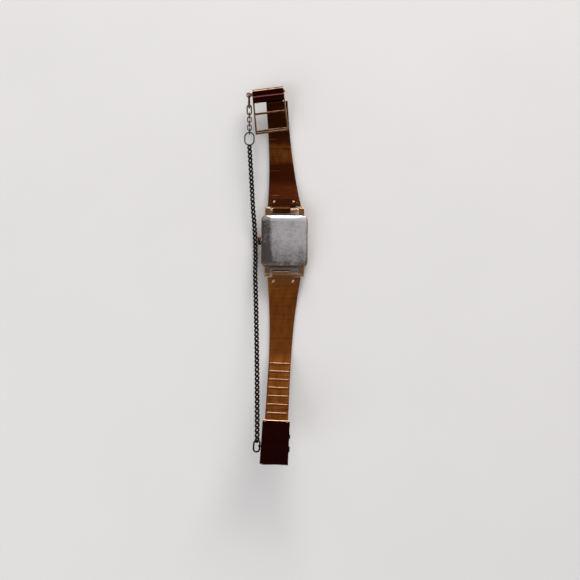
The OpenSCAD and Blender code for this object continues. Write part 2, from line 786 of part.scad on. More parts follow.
module battery_clamp() {
    top_z = battery_z + battery_t;
    leg_x = clamp_at[0];
    color("silver") difference() {
        union() {
            block([leg_x + 0.6, clamp_at[1] - clamp_w / 2, top_z],
                [battery_at[0] + 1.6, clamp_at[1] + clamp_w / 2, top_z + clamp_t]);
            block([leg_x + 0.6, clamp_at[1] - clamp_w / 2, plate_top],
                [leg_x + 0.6 + clamp_t, clamp_at[1] + clamp_w / 2, top_z + eps]);
            block([leg_x - 0.7, clamp_at[1] - clamp_w / 2, plate_top],
                [leg_x + 0.6 + eps, clamp_at[1] + clamp_w / 2, plate_top + clamp_t]);
        }
        translate([leg_x, clamp_at[1], plate_top - 1]) cylinder(r = screw_r, h = 3, $fn = 24);
    }
}

// A slotted screw with the underside of its head at z
module screw(p, z, shank) {
    head_r = 0.45;
    head_t = 0.2;
    translate([p[0], p[1], z]) difference() {
        union() {
            cylinder(r = head_r, h = head_t, $fn = 24);
            translate([0, 0, -shank]) cylinder(r = screw_r, h = shank + eps, $fn = 24);
        }
        translate([-1, -0.06, head_t - 0.1]) cube([2, 0.12, 1]);
    }
}

module movement_screws() {
    color("lightgray") {
        for (p = pillars) screw(p, bridge_z + bridge_t, bridge_z + bridge_t - plate_top + 0.45);
        screw(lever_at, plate_top + 0.2, 0.85);
        screw(clamp_at, plate_top + clamp_t, 0.8);
    }
}

// Crown and stem
module pendant_tube() {
    color(steel) translate([0, 0, stem_z]) difference() {
        rod_x(tube_r, -tube_end, -inner_w / 2 + 0.1);
        rod_x(tube_bore, -tube_end - 1, 0);
    }
}

module crown() {
    flutes = 20;
    end_x = crown_x + crown_l;
    color(gold) translate([0, 0, stem_z]) difference() {
        union() {
            translate([-crown_x, 0, 0]) rotate([0, -90, 0]) linear_extrude(crown_l - 0.25) difference() {
                circle(crown_r);
                for (i = [0:flutes - 1]) translate(polar(crown_r + 0.04, i * 360 / flutes))
                    circle(0.12, $fn = 16);
            }
            translate([-end_x + 0.25, 0, 0]) rotate([0, -90, 0])
                cylinder(r1 = crown_r - 0.08, r2 = crown_r - 0.4, h = 0.25);
        }
        rod_x(crown_bore, -end_x + crown_face_t, 0);
        rod_x(stem_r, -end_x + 0.15, 0);
    }
}

module stem() {
    end_x = crown_x + crown_l - 0.15;
    color(steel) translate([0, 0, stem_z]) {
        rod_x(stem_r, -end_x, -groove_x - groove_w / 2);
        rod_x(stem_r - 0.15, -groove_x - groove_w / 2 - eps, -groove_x + groove_w / 2 + eps);
        rod_x(stem_r, -groove_x + groove_w / 2, -stem_in);
        translate([-stem_in - 0.8, 0, 0]) rotate([0, 90, 0]) gear(10, 0.5, 0.6, stem_r - eps);
    }
}

module crown_gasket() {
    color([0.15, 0.15, 0.15]) translate([0, 0, stem_z]) difference() {
        rod_x(seal_out, -crown_x - 0.5, -crown_x - 0.1);
        rod_x(seal_in, -crown_x - 2, 0);
    }
}

// Spring bars
module bar_barrel() {
    color(gold) difference() {
        union() {
            rod_x(barrel_r, -barrel_end, barrel_end);
            for (x = [-1, 1]) translate([x * (barrel_end - 0.2), 0, 0]) rod_x(barrel_r + 0.2, -0.2, 0.2);
        }
        rod_x(barrel_bore, -barrel_end + barrel_cap, barrel_end - barrel_cap);
        rod_x(tip_hole_r, -lug_in, lug_in);
    }
}

module bar_tip(side) {
    color(steel) mirror([side < 0 ? 1 : 0, 0, 0]) {
        rod_x(tip_r, tip_flange_x, lug_in + tip_reach);
        rod_x(barrel_bore - 0.03, tip_flange_x, tip_flange_x + flange_t);
    }
}

// The helical spring between the two tips, as one swept tube
module bar_spring() {
    rings = 8;
    sides = 5;
    coil_radius = barrel_bore - spring_wire_r - 0.05;
    half_l = tip_flange_x - 0.02 - spring_wire_r;
    count = spring_turns * rings;
    points = [for (i = [0:count], k = [0:sides - 1])
        let (a = i * 360 / rings, x = -half_l + 2 * half_l * i / count, b = k * 360 / sides,
            r = coil_radius + spring_wire_r * cos(b))
        [x + spring_wire_r * sin(b), r * cos(a), r * sin(a)]];
    faces = concat([[for (k = [0:sides - 1]) k]], [[for (k = [sides - 1:-1:0]) count * sides + k]],
        [for (i = [0:count - 1], k = [0:sides - 1])
            let (p = i * sides + k, q = i * sides + (k + 1) % sides) [p, p + sides, q]],
        [for (i = [0:count - 1], k = [0:sides - 1])
            let (p = i * sides + k, q = i * sides + (k + 1) % sides) [q, p + sides, q + sides]]);
    color("gray") polyhedron(points, faces);
}

module upper_bar_barrel() {
    upper_half() bar_barrel();
}
module lower_bar_barrel() {
    lower_half() bar_barrel();
}
module upper_bar_spring() {
    upper_half() bar_spring();
}
module lower_bar_spring() {
    lower_half() bar_spring();
}
module upper_left_tip() {
    upper_half() bar_tip(-1);
}
module upper_right_tip() {
    upper_half() bar_tip(1);
}
module lower_left_tip() {
    lower_half() bar_tip(-1);
}
module lower_right_tip() {
    lower_half() bar_tip(1);
}

// Bracelet
module mesh_profile(incline, last) {
    s_list = stations(last);
    rotate([90, 0, 90]) linear_extrude(2 * mesh_root_w, center = true)
        polygon(concat([for (s = s_list) [s, mesh_z(s, incline) - bar_z - half_t]],
            [for (i = [len(s_list) - 1:-1:0]) [s_list[i], mesh_z(s_list[i], incline) - bar_z + half_t]]));
}

module mesh_plan(lean, last) {
    steps = 14;
    s_list = concat([for (i = [0:steps]) shoulder_s + (taper_l - shoulder_s) * i / steps], [last]);
    translate([0, 0, -bar_z - 1]) linear_extrude(40)
        polygon(concat([for (s = s_list) [-s * tan(lean) - mesh_w(s) / 2, s]],
            [for (i = [len(s_list) - 1:-1:0]) [-s_list[i] * tan(lean) + mesh_w(s_list[i]) / 2, s_list[i]]]));
}

module upper_strap() {
    color(gold) difference() {
        upper_half() intersection() {
            mesh_profile(upper_incline, ladder_s);
            mesh_plan(upper_lean, ladder_s);
        }
        ladder_place() {
            block([cap_right, -cap_end - cap_l + eps, -3], [mesh_end_w, 3, 3]);
            block([-mesh_end_w, -cap_end, -3], [mesh_end_w, 3, 3]);
        }
    }
}

module lower_strap() {
    color(gold) lower_half() {
        intersection() {
            mesh_profile(lower_incline, slide_end);
            mesh_plan(lower_lean, slide_end);
        }
        for (i = [0:ridge_count - 1])
            free_end(ridge_first_s + i * ridge_pitch * cos(lower_incline), lower_lean, lower_incline)
                translate([0, 0, half_t + ridge_h - ridge_r])
                    rod_x(ridge_r, -mesh_end_w / 2 + ridge_margin, mesh_end_w / 2 - ridge_margin);
    }
}

// The sheet clip that holds the end of the mesh and rolls round the spring bar
module end_clip() {
    top = half_t + clip_plate_t;
    color(gold) rotate([-slope_in, 0, 0]) difference() {
        union() {
            rod_x(knuckle_r, knuckle_left, knuckle_right);
            block([knuckle_left, 0.6, half_t], [knuckle_right, shoulder_s + 0.2, top]);
            block([clip_left, shoulder_s, half_t], [clip_right, shoulder_s + clip_l, top]);
            block([clip_left, shoulder_s, -top], [clip_right, shoulder_s + clip_l * 0.75, -half_t]);
            block([clip_left, shoulder_s - 0.2, -top], [clip_right, shoulder_s - 0.05, top]);
            for (x = [clip_left + 0.9, clip_right - 0.9]) translate([x, shoulder_s + clip_l / 2, top - eps])
                cylinder(r1 = rivet_r, r2 = rivet_r * 0.6, h = 0.2);
        }
        rod_x(knuckle_bore, -lug_gap, lug_gap);
    }
}

module upper_end_clip() {
    upper_half() end_clip();
}
module lower_end_clip() {
    lower_half() end_clip();
}

// The folded cap on the upper half's end, with the knuckle of the ladder's hinge
module strap_end_cap() {
    top = half_t + cap_plate_t;
    color(gold) ladder_place() difference() {
        union() {
            rod_x(cap_knuckle_r, cap_left, cap_right);
            block([cap_left, -cap_end - cap_l, half_t], [cap_right, -cap_end, top]);
            block([cap_left, -cap_end - cap_l, -top], [cap_right, -cap_end, -half_t]);
            block([cap_left, -cap_end, -top], [cap_right, -cap_end + 0.3, top]);
            block([cap_left, -cap_end, -half_t], [cap_right, -pin_bore - 0.1, half_t]);
        }
        rod_x(pin_bore, -ladder_w, ladder_w);
    }
}

// Ladder
module ladder_frame() {
    color(gold) ladder_place() translate([-ladder_offset, 0, 0]) rotate([180 - ladder_rise, 0, 0])
        difference() {
            union() {
                for (x = [-1, 1]) translate([x * (rail_in + rail_w / 2), 0, 0]) ladder_rail();
                ladder_sheet();
                translate([0, rung_v, 0]) rod_x(rung_r, -rail_mid, rail_mid);
                for (v = [bar_v - bar_gap, bar_v]) translate([0, v, 0]) rod_x(bar_r, -rail_mid, rail_mid);
                block([-rail_mid, bar_v - bar_gap, -0.2], [rail_mid, bar_v, 0.2]);
            }
            rod_x(pin_bore, -ladder_w, ladder_w);
        }
}

module ladder_rail() {
    rotate([90, 0, 90]) linear_extrude(rail_w, center = true) {
        circle(cap_knuckle_r);
        translate([0, -rail_h / 2]) square([ladder_l - rail_h / 2, rail_h]);
        translate([ladder_l - rail_h / 2, 0]) circle(rail_h / 2);
    }
}

// The ladder's polished sheet: a hood round the knuckle and a second convex lobe
module ladder_sheet() {
    rotate([90, 0, 90]) linear_extrude(2 * rail_mid, center = true) {
        sector(hood_in, hood_in + hood_t, -hood_to, -hood_from);
        translate([lobe_v, -lobe_w]) sector(lobe_r - hood_t, lobe_r, -180, 0);
    }
}

// A ring sector in the plane, with its edges on an arc
module sector(r_in, r_out, a0, a1) {
    steps = 16;
    polygon(concat([for (i = [0:steps]) polar(r_out, a0 + (a1 - a0) * i / steps)],
        [for (i = [steps:-1:0]) polar(r_in, a0 + (a1 - a0) * i / steps)]));
}

module ladder_pin() {
    left = -ladder_offset - ladder_w / 2 - 0.3;
    right = -ladder_offset + ladder_w / 2 + 0.1;
    color(gold) ladder_place() {
        rod_x(ladder_pin_r, left, right);
        rod_x(ladder_pin_r + 0.25, right, right + pin_head_t);
        rod_x(ladder_pin_r + 0.2, left - 0.15, left + 0.1);
        translate([left - eye_major - eye_wire, 0, 0]) rotate_extrude() translate([eye_major, 0])
            circle(eye_wire, $fn = 24);
    }
}
ladder_eye = on_upper(ladder_s,
    turn_z([-ladder_offset - ladder_w / 2 - 0.3 - eye_major - eye_wire, -eye_major, 0], ladder_skew));

// Slide clasp
module slide_box() {
    color(gold) lower_end(slide_s) difference() {
        union() {
            block([-slide_half_w, -slide_l / 2 + roll_r, slide_plate_z],
                [slide_half_w, slide_l / 2, slide_plate_z + slide_plate_t]);
            translate([0, -slide_l / 2 + roll_r, slide_plate_z + slide_plate_t - roll_r])
                rod_x(roll_r, -slide_half_w, slide_half_w);
            for (x = [-1, 1]) block([x < 0 ? -slide_half_w : slide_in_w, -slide_l / 2 + 0.3, slide_bottom],
                [x < 0 ? -slide_in_w : slide_half_w, slide_l / 2, slide_plate_z + eps]);
            for (y = [-slide_l / 2 + 2.9, slide_l / 2 - 2.6])
                block([-slide_in_w - eps, y, -half_t - 0.2 - crossbar_t],
                    [slide_in_w + eps, y + crossbar_l, -half_t - 0.2]);
            for (p = [[-2.3, 1.0], [2.4, 1.3]]) translate([slide_half_w - eps, p[0], 0])
                rotate([0, 90, 0]) cylinder(r1 = p[1], r2 = p[1] * 0.7, h = 0.4);
            block([-slide_half_w - 1.1, eye_y - eye_tab_l / 2, -0.55],
                [-slide_half_w + eps, eye_y + eye_tab_l / 2, 0.55]);
        }
        translate([0, lid_pin_y, lid_pin_z]) rod_x(lid_pin_r, -slide_half_w - 1, slide_half_w + 1);
        translate([-slide_half_w - 0.55, eye_y - 2, 0]) rotate([-90, 0, 0])
            cylinder(r = jump_wire + 0.1, h = 4, $fn = 24);
    }
}

module slide_lid() {
    half = slide_in_w - lid_gap;
    color(gold) lower_end(slide_s) difference() {
        union() {
            translate([0, lid_pin_y, lid_pin_z]) rod_x(lid_knuckle_r, -half, half);
            block([-half, lid_pin_y, slide_bottom], [half, slide_l / 2 - 0.15, slide_bottom + lid_t]);
            block([-half, lid_pin_y - 0.2, slide_bottom], [half, lid_pin_y + 0.2, lid_pin_z]);
        }
        translate([0, lid_pin_y, lid_pin_z]) rod_x(lid_pin_r + clear, -slide_half_w, slide_half_w);
    }
}

module lid_pin() {
    color(gold) lower_end(slide_s) translate([0, lid_pin_y, lid_pin_z])
        rod_x(lid_pin_r, -slide_half_w - 0.1, slide_half_w + 0.1);
}

module locking_bar() {
    half = slide_in_w - 3 * lid_gap;
    color(steel) lower_end(slide_s)
        block([-half, -3.4, slide_bottom + lid_t], [half, -3.4 + lock_l, -half_t - clear]);
}

// Safety chain
module chain_jump_ring() {
    color(dark) lower_end(slide_s) translate([jump_x, eye_y, 0])
        link(jump_l - 4 * jump_wire, jump_w - 4 * jump_wire, jump_wire);
}
jump_foot = on_lower(slide_s, [jump_x, eye_y - jump_l / 2 + jump_wire, 0]);

module chain_oval_ring() {
    color(dark) translate(oval_at) link(ring_l - 4 * oval_wire, ring_w - 4 * oval_wire, oval_wire);
}

module chain_upper_run() {
    color(dark) chain_run(upper_joint, oval_foot, [0, 0, -0.5], 90, hook_inset);
}

module chain_middle_run() {
    color(dark) chain_run(upper_joint, lower_joint, [0.15, 0, -1.7], 0, bar_inset);
}

module chain_lower_run() {
    color(dark) chain_run(lower_joint, jump_foot, [-0.5, 0, -2.5], 90, hook_inset);
}

// The links between the oval ring and the eye of the ladder's pin, with equal play at each joint
function links_len(i) = i < 0 ? 0 : head_links[i][0] + links_len(i - 1);
module chain_head_links() {
    way = ladder_eye - oval_head;
    last = len(head_links) - 1;
    play = (links_len(last) - oval_wire - eye_wire - norm(way)) / (last + 2);
    color(gold) for (i = [0:last]) {
        before = links_len(i - 1) - oval_wire - play * (i + 1);
        along(oval_head + way * ((before + head_links[i][0] / 2) / norm(way)), way, i % 2 == 0 ? 90 : 0)
            link(head_links[i][0], head_links[i][1], head_links[i][2]);
    }
}

case_middle();
case_back();
back_gasket();
crystal();
crystal_gasket();
dial_ring();
dial();
hour_markers();
minute_hand();
hour_hand();
movement_holder();
main_plate();
train_bridge();
circuit_board();
quartz_resonator();
coil_winding();
coil_core();
stator();
rotor();
fifth_wheel();
fourth_wheel();
third_wheel();
center_wheel();
cannon_pinion();
minute_wheel();
hour_wheel();
setting_wheel();
setting_lever();
battery();
battery_clamp();
movement_screws();
crown();
stem();
crown_gasket();
pendant_tube();
upper_bar_barrel();
lower_bar_barrel();
upper_bar_spring();
lower_bar_spring();
upper_left_tip();
upper_right_tip();
lower_left_tip();
lower_right_tip();
upper_strap();
lower_strap();
upper_end_clip();
lower_end_clip();
strap_end_cap();
ladder_frame();
ladder_pin();
slide_box();
slide_lid();
lid_pin();
locking_bar();
chain_head_links();
chain_oval_ring();
chain_upper_run();
chain_middle_run();
chain_lower_run();
chain_jump_ring();
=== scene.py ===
"""A quartz watch that lies on its crystal, with a woven band, a ladder and slide clasp and a safety chain."""

import math

import bmesh
import bpy
from bpy.props import FloatProperty, FloatVectorProperty, IntProperty, PointerProperty
from mathutils import Matrix, Vector


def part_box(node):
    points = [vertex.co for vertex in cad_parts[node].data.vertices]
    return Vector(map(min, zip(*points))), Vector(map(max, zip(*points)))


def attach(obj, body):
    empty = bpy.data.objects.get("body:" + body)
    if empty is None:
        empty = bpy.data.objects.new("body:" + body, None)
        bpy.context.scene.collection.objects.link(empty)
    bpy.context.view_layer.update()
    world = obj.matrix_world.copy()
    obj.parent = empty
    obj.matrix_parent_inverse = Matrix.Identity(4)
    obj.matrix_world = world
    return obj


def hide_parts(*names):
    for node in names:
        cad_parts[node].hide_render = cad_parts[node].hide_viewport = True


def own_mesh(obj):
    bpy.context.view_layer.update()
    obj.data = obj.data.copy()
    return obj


bl_info = {
    "name": "Quartz watch",
    "version": (1, 0, 0),
    "blender": (4, 5, 0),
    "location": "View3D > Sidebar > Watch",
    "description": "Dresses the jointed quartz watch with its metal, mesh and chain",
    "category": "Object",
}

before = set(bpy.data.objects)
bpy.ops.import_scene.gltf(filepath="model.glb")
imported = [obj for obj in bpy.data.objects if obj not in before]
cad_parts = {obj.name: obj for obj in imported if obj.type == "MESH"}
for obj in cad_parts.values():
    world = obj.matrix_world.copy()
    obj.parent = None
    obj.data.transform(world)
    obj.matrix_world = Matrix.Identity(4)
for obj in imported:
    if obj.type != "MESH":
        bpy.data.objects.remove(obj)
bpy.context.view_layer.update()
MM = 0.001

# Sizes that follow the part's source, in millimetres and degrees

# The spring bars and the band, whose places are given by their distance s from the bar
BAR_Y = 13.5
BAR_Z = 3.0
BAND_T = 1.0
ROOT_W = 14.1
END_W = 9.2
TAPER_FROM = 1.75
TAPER_TO = 40.0
TAPER_POWER = 2.1
BEND_IN = 20.0
BEND_OUT = 12.0
FLAT_START = 14.3
FLAT_END = 31.5
BAND_ROUND = 0.26
STRIP_W = 10.0
UPPER = {"name": "upper", "side": 1, "incline": 14.0, "lean": 4.5}
LOWER = {"name": "lower", "side": -1, "incline": 21.0, "lean": 2.5}

# The end clips on their spring bars
CLIP_LEFT = -5.4
CLIP_RIGHT = 4.6
CLIP_ROLL_R = 1.25
CLIP_BORE_R = 0.70
CLIP_ROLL_LEFT = -5.0
CLIP_ROLL_RIGHT = 2.5
CLIP_TOP = 0.9
CLIP_INSIDE = 0.50
CLIP_FOOT = 1.75
CLIP_TOP_L = 3.2
CLIP_UNDER_L = 2.4
STUD_X = (-4.5, 3.7)
STUD_Y = CLIP_FOOT + 1.6

# The slide with its stop ridges
RIDGE_S = 37.8
RIDGE_PITCH = 3.37
RIDGE_R = 0.4
RIDGE_H = 0.35
SLIDE_S = 66.9
SLIDE_L = 16.4
SLIDE_HALF_W = 5.35
SLIDE_TOP = 1.75
ROLL_R = 0.45
KNUCKLE_IN = 0.9
KNUCKLE_R = ROLL_R + 0.12
KNUCKLE_HALF_L = 0.45
KNUCKLE_LIFT = 0.16
BAND_TAIL = 7.6

# The ladder on its pin
LADDER_S = 50.8
LADDER_SKEW = 2.5
LADDER_OFFSET = 3.45
LADDER_RISE = 28.0
LADDER_L = 20.4
LADDER_W = 13.8
RAIL_W = 0.7
RAIL_HALF_H = 0.5
RAIL_MID = (LADDER_W - RAIL_W) / 2
RUNG_R = 0.45
CAP_R = 1.0
CAP_END = 1.3
CAP_L = 3.1
CAP_GAP = 0.25
HOOD_T = 0.5
HOOD_R = CAP_R + 0.4 + HOOD_T
LOBE_R = 1.65
LOBE_Y = HOOD_R + LOBE_R - 0.25
LOBE_Z = -0.35
END_BAR_R = 0.42
END_BAR_Y = LADDER_L - 0.52
END_BAR_GAP = 0.95

# The safety chain
UPPER_JOINT = (-13.4, BAR_Y, BAR_Z)
LOWER_JOINT = (-12.2, -BAR_Y, BAR_Z)
UPPER_BOW = (0, 0, -0.5)
MIDDLE_BOW = (0.35, 0, -1.7)
LOWER_BOW = (0.1, 0, -2.5)
LINK_SLANT = 27.0
LINK_TWIST = 44.0
LINK_FLATNESS = 0.82
RING_EXTRA = 0.14

# The case back, with its outlines from the inside out: how far in from its sides and its ends, and how far up
BACK_W = 18.66
BACK_L = 21.06
BACK_Z = 5.1
BACK_CORNER = 1.9
BACK_RINGS = (
    (2.83, 2.83, 0.35),
    (1.805, 1.805, 0.35),
    (1.78, 1.78, 0.30),
    (1.78, 1.78, -0.5),
    (1.28, 1.28, -0.5),
    (1.28, 1.28, 0),
    (0.05, 0.05, 0),
    (0, 0, 0.05),
    (0, 0, 0.14),
    (0.05, 0.04, 0.24),
    (0.20, 0.14, 0.34),
    (0.75, 0.45, 0.48),
    (1.5, 0.85, 0.62),
    (2.4, 1.25, 0.74),
    (3.3, 1.65, 0.82),
    (4.2, 2.1, 0.87),
    (5.2, 2.8, 0.895),
    (6.3, 4.0, 0.90),
)

# The stage: the table under the part, and the photograph's size in pixels with its camera in millimetres
TABLE_HALF = 1500.0
TABLE_DROP = 0.02
PHOTO_SIZE = 580
FOCAL_LENGTH = 455.5
CAMERA_AT = (2.47, -34.09, 193.4)
CAMERA_TILT = 4.07
CAMERA_ROLL = 0.35


# Sizes and colours that a user would change


def length_property(name, description, default):
    return FloatProperty(name=name, description=description, default=default * MM, unit="LENGTH")


def colour_property(name, description, default):
    return FloatVectorProperty(
        name=name, description=description, subtype="COLOR", size=4, min=0, max=1, default=(*default, 1)
    )


class WatchSizes(bpy.types.PropertyGroup):
    """Sizes of the fine work on the watch"""

    weave_w: length_property("Weave width", "Width of one column of the woven band", 0.46)
    weave_l: length_property("Weave length", "Length of one loop of the woven band", 0.36)
    link_w: length_property("Link width", "Width of a chain link", 2.0)
    link_pitch: length_property("Link pitch", "Distance between chain links", 1.8)
    link_wire: length_property("Link wire", "Radius of a chain link's wire", 0.39)
    ridges: IntProperty(
        name="Ridges", description="Number of stop ridges on the lower band", default=7, min=1, max=12
    )


class WatchColours(bpy.types.PropertyGroup):
    """Colours of the watch's metals and small parts"""

    gold: colour_property("Gold", "Plating of the case", (0.32, 0.18, 0.09))
    gold_worn: colour_property("Worn gold", "Plating where it has darkened", (0.20, 0.09, 0.04))
    # Bright gold: the plating made paler as a painted highlight on rolls, bars, studs and knuckles
    bright: colour_property("Bright gold", "Plating that shines at rolls and bars", (0.46, 0.29, 0.18))
    clip: colour_property("Clip", "Plating of the clips", (0.27, 0.090, 0.020))
    # Dark clip: the clips' plating darkened as painted shade on the upper clip and the crown
    clip_shaded: colour_property("Dark clip", "Plating of the upper clip and the crown", (0.060, 0.016, 0.005))
    band: colour_property("Band", "Woven band where it is bright", (0.43, 0.140, 0.025))
    # Dark band is the band's darker tone, and on the upper half its painted shade
    band_dark_and_shaded: colour_property("Dark band", "Woven band where it has darkened", (0.048, 0.0095, 0.0020))
    ladder: colour_property("Ladder", "Rails and rungs of the ladder", (0.14, 0.075, 0.043))
    # Mirror plate: near black, a painted dark reflection in place of the sheet's gold
    mirror: colour_property("Mirror plate", "Polished sheet of the clasp", (0.032, 0.0022, 0.0016))
    steel: colour_property("Steel", "Case back", (0.80, 0.78, 0.80))
    # Worn steel is both the rubbed wear and the painted shade of the case back
    steel_worn_and_shaded: colour_property("Worn steel", "Case back where it is rubbed", (0.14, 0.122, 0.115))
    chain: colour_property("Chain", "Safety chain", (0.024, 0.016, 0.013))
    dial: colour_property("Dial", "Dial's lacquer", (0.82, 0.78, 0.68))
    floor: colour_property("Floor", "Table under the watch", (0.80, 0.79, 0.79))


# Shader maths and materials


class Field:
    """A number that changes over a surface."""

    def __init__(self, graph, socket):
        self.graph = graph
        self.socket = socket

    def math(self, operation, *others):
        made = self.graph.node("ShaderNodeMath", {"operation": operation}, dict(enumerate((self, *others))))
        return Field(self.graph, made.outputs[0])

    def __add__(self, other):
        return self.math("ADD", other)

    __radd__ = __add__

    def __sub__(self, other):
        return self.math("SUBTRACT", other)

    def __rsub__(self, other):
        made = self.graph.node("ShaderNodeMath", {"operation": "SUBTRACT"}, {0: other, 1: self})
        return Field(self.graph, made.outputs[0])

    def __mul__(self, other):
        return self.math("MULTIPLY", other)

    __rmul__ = __mul__

    def __truediv__(self, other):
        return self.math("DIVIDE", other)

    def __pow__(self, other):
        return self.math("POWER", other)

    def __abs__(self):
        return self.math("ABSOLUTE")

    def sin(self):
        return self.math("SINE")

    def part(self):
        return self.math("FRACT")

    def most(self, other):
        return self.math("MAXIMUM", other)

    def least(self, other):
        return self.math("MINIMUM", other)

    def rise(self, low, high):
        """0 below low, 1 above high, and a soft step between them."""
        sockets = {"Value": self, "From Min": low, "From Max": high}
        made = self.graph.node("ShaderNodeMapRange", {"interpolation_type": "SMOOTHSTEP"}, sockets)
        return Field(self.graph, made.outputs["Result"])

    def between(self, low, high):
        """This field from 0 to 1 stretched from low to high."""
        return self * (high - low) + low


class Graph:
    """The nodes of a material or of the world."""

    def __init__(self, owner):
        owner.use_nodes = True
        self.tree = owner.node_tree
        self.tree.nodes.clear()

    def node(self, kind, settings=None, sockets=None):
        """A node of that kind, with its settings made first and then its sockets' values or links."""
        made = self.tree.nodes.new(kind)
        for key, value in (settings or {}).items():
            setattr(made, key, value)
        for key, value in (sockets or {}).items():
            self.plug(value, made.inputs[key])
        return made

    def plug(self, value, socket):
        """Gives a socket its value, or links it to a field or to another node's output."""
        if isinstance(value, Field):
            value = value.socket
        if isinstance(value, bpy.types.NodeSocket):
            self.tree.links.new(value, socket)
        else:
            socket.default_value = value

    def place(self, scale=(1, 1, 1), turn=(0, 0, 0), shift=(0, 0, 0), kind="Object"):
        """Object coordinates in millimetres, or the piece's UV map, stretched, turned and shifted."""
        start = self.node("ShaderNodeTexCoord").outputs[kind]
        unit = 1000 if kind == "Object" else 1
        grown = self.node("ShaderNodeVectorMath", {"operation": "SCALE"}, {"Vector": start, "Scale": unit})
        moved = {"Vector": grown.outputs[0], "Location": shift, "Rotation": turn, "Scale": scale}
        return self.node("ShaderNodeMapping", {}, moved).outputs[0]

    def along(self, vector):
        """The vector's three parts as fields."""
        made = self.node("ShaderNodeSeparateXYZ", {}, {"Vector": vector})
        return [Field(self, socket) for socket in made.outputs]

    def noise(self, vector, scale=1.0, detail=3.0, rough=0.55):
        """Clouds around 0.5."""
        sockets = {"Vector": vector, "Scale": scale, "Detail": detail, "Roughness": rough}
        return Field(self, self.node("ShaderNodeTexNoise", {}, sockets).outputs["Fac"])

    def cells(self, vector, scale=1.0):
        """Distance to the nearest of many scattered points."""
        made = self.node("ShaderNodeTexVoronoi", {"feature": "F1"}, {"Vector": vector, "Scale": scale})
        return Field(self, made.outputs["Distance"])

    def mix(self, amount, first, second):
        """first where amount is 0 and second where it is 1, as a colour."""
        made = self.node("ShaderNodeMix", {"data_type": "RGBA"}, {0: amount, 6: first, 7: second})
        return made.outputs[2]


class Finish(Graph):
    """A material with one shader."""

    def __init__(self, name, metal=1.0):
        self.material = bpy.data.materials.new(name)
        super().__init__(self.material)
        self.shader = self.node("ShaderNodeBsdfPrincipled", {}, {"Metallic": metal})
        self.node("ShaderNodeOutputMaterial", {}, {"Surface": self.shader.outputs[0]})

    def relief(self, height, depth, strength=1.0):
        """Height from 0 to 1 as bumps of that depth in millimetres."""
        sockets = {"Height": height, "Distance": depth * MM, "Strength": strength}
        made = self.node("ShaderNodeBump", {}, sockets)
        self.plug(made.outputs[0], self.shader.inputs["Normal"])

    def set(self, **values):
        """Sets the shader's sockets by their names, to values or fields, and returns the material."""
        for key, value in values.items():
            self.plug(value, self.shader.inputs[key.replace("_", " ").title().replace("Ior", "IOR")])
        return self.material


def toned(colour, factor, lift=0.0):
    """A colour made brighter or darker, with its alpha left at 1."""
    return tuple(min(1.0, factor * part + lift) for part in colour[:3]) + (1.0,)


def plated(name, bright, dark, rough, wear=(0.42, 0.72), grain=(1, 1, 1), depth=0.004, coat=0.0):
    """Plated metal with darkened patches and fine scratches."""
    f = Finish(name)
    patches = f.noise(f.place(), 0.45, 5).rise(*wear)
    specks = f.noise(f.place(), 6.0, 3).rise(0.60, 0.74)
    darkening = (patches * 0.75 + specks * 0.35).least(1.0)
    scratch = f.noise(f.place(grain), 9.0, 4, 0.65)
    f.relief(scratch, depth)
    f.set(coat_weight=coat, coat_roughness=0.04)
    roughness = (darkening * 0.6 + scratch * 0.4).between(*rough)
    return f.set(base_color=f.mix(darkening, bright, dark), roughness=roughness)


def rubbed_and_shaded_steel(name, bright, dark):
    """The case back: fine wear with a few long scratches, painted shade that darkens it at the crown's side,
    along its sides and towards the foot, and a painted highlight that lightens the far end.
    """
    f = Finish(name)
    x, y = f.along(f.place())[:2]
    left, foot = x * -1.0, y * -1.0
    # Painted shade: a dark band at the crown's side with a softer shoulder, and a dark rim along both sides
    side = left.rise(4.6, 6.6) * 0.66 + left.rise(1.5, 6.0) * 0.14 + abs(x).rise(8.4, 9.3) * 0.2
    # Painted shade darker towards the foot and at its rim, with a painted highlight that lightens the far end
    ends = foot.rise(-2.5, 10.0) * 0.5 + foot.rise(8.4, 10.2) * 0.3 - y.rise(7.6, 9.0) * 0.5 - 0.1
    clouds = f.noise(f.place((1, 0.7, 1)), 0.26, 4).rise(0.36, 0.66)
    mottle = f.noise(f.place(), 1.0, 4, 0.58)
    dots = f.noise(f.place((1, 1.6, 1), shift=(3, 8, 0)), 0.62, 3, 0.62).rise(0.48, 0.66)
    fine = f.noise(f.place((1, 0.12, 1), (0, 0, 0.5)), 14.0, 3, 0.7)
    falling = f.noise(f.place((0.08, 2.4, 1), (0, 0, 0.9)), 3.0, 2).rise(0.63, 0.68)
    rising = f.noise(f.place((0.07, 2.0, 1), (0, 0, -0.6), (7, 3, 0)), 3.4, 2).rise(0.64, 0.69)
    scratches = falling.most(rising)
    rubbed = mottle.rise(0.42, 0.64) * 0.20 + clouds * 0.18 + dots * 0.17 + scratches * 0.12 + 0.03
    # darkening adds the painted shade and highlight to the rubbed wear
    darkening = (rubbed + side + ends).most(0.0).least(1.0)
    f.relief(mottle * 0.6 + fine * 0.25 + dots * 0.3 - scratches * 0.4, 0.016)
    roughness = (mottle * 0.5 + fine * 0.5).between(0.22, 0.46)
    return f.set(base_color=f.mix(darkening, bright, dark), roughness=roughness)


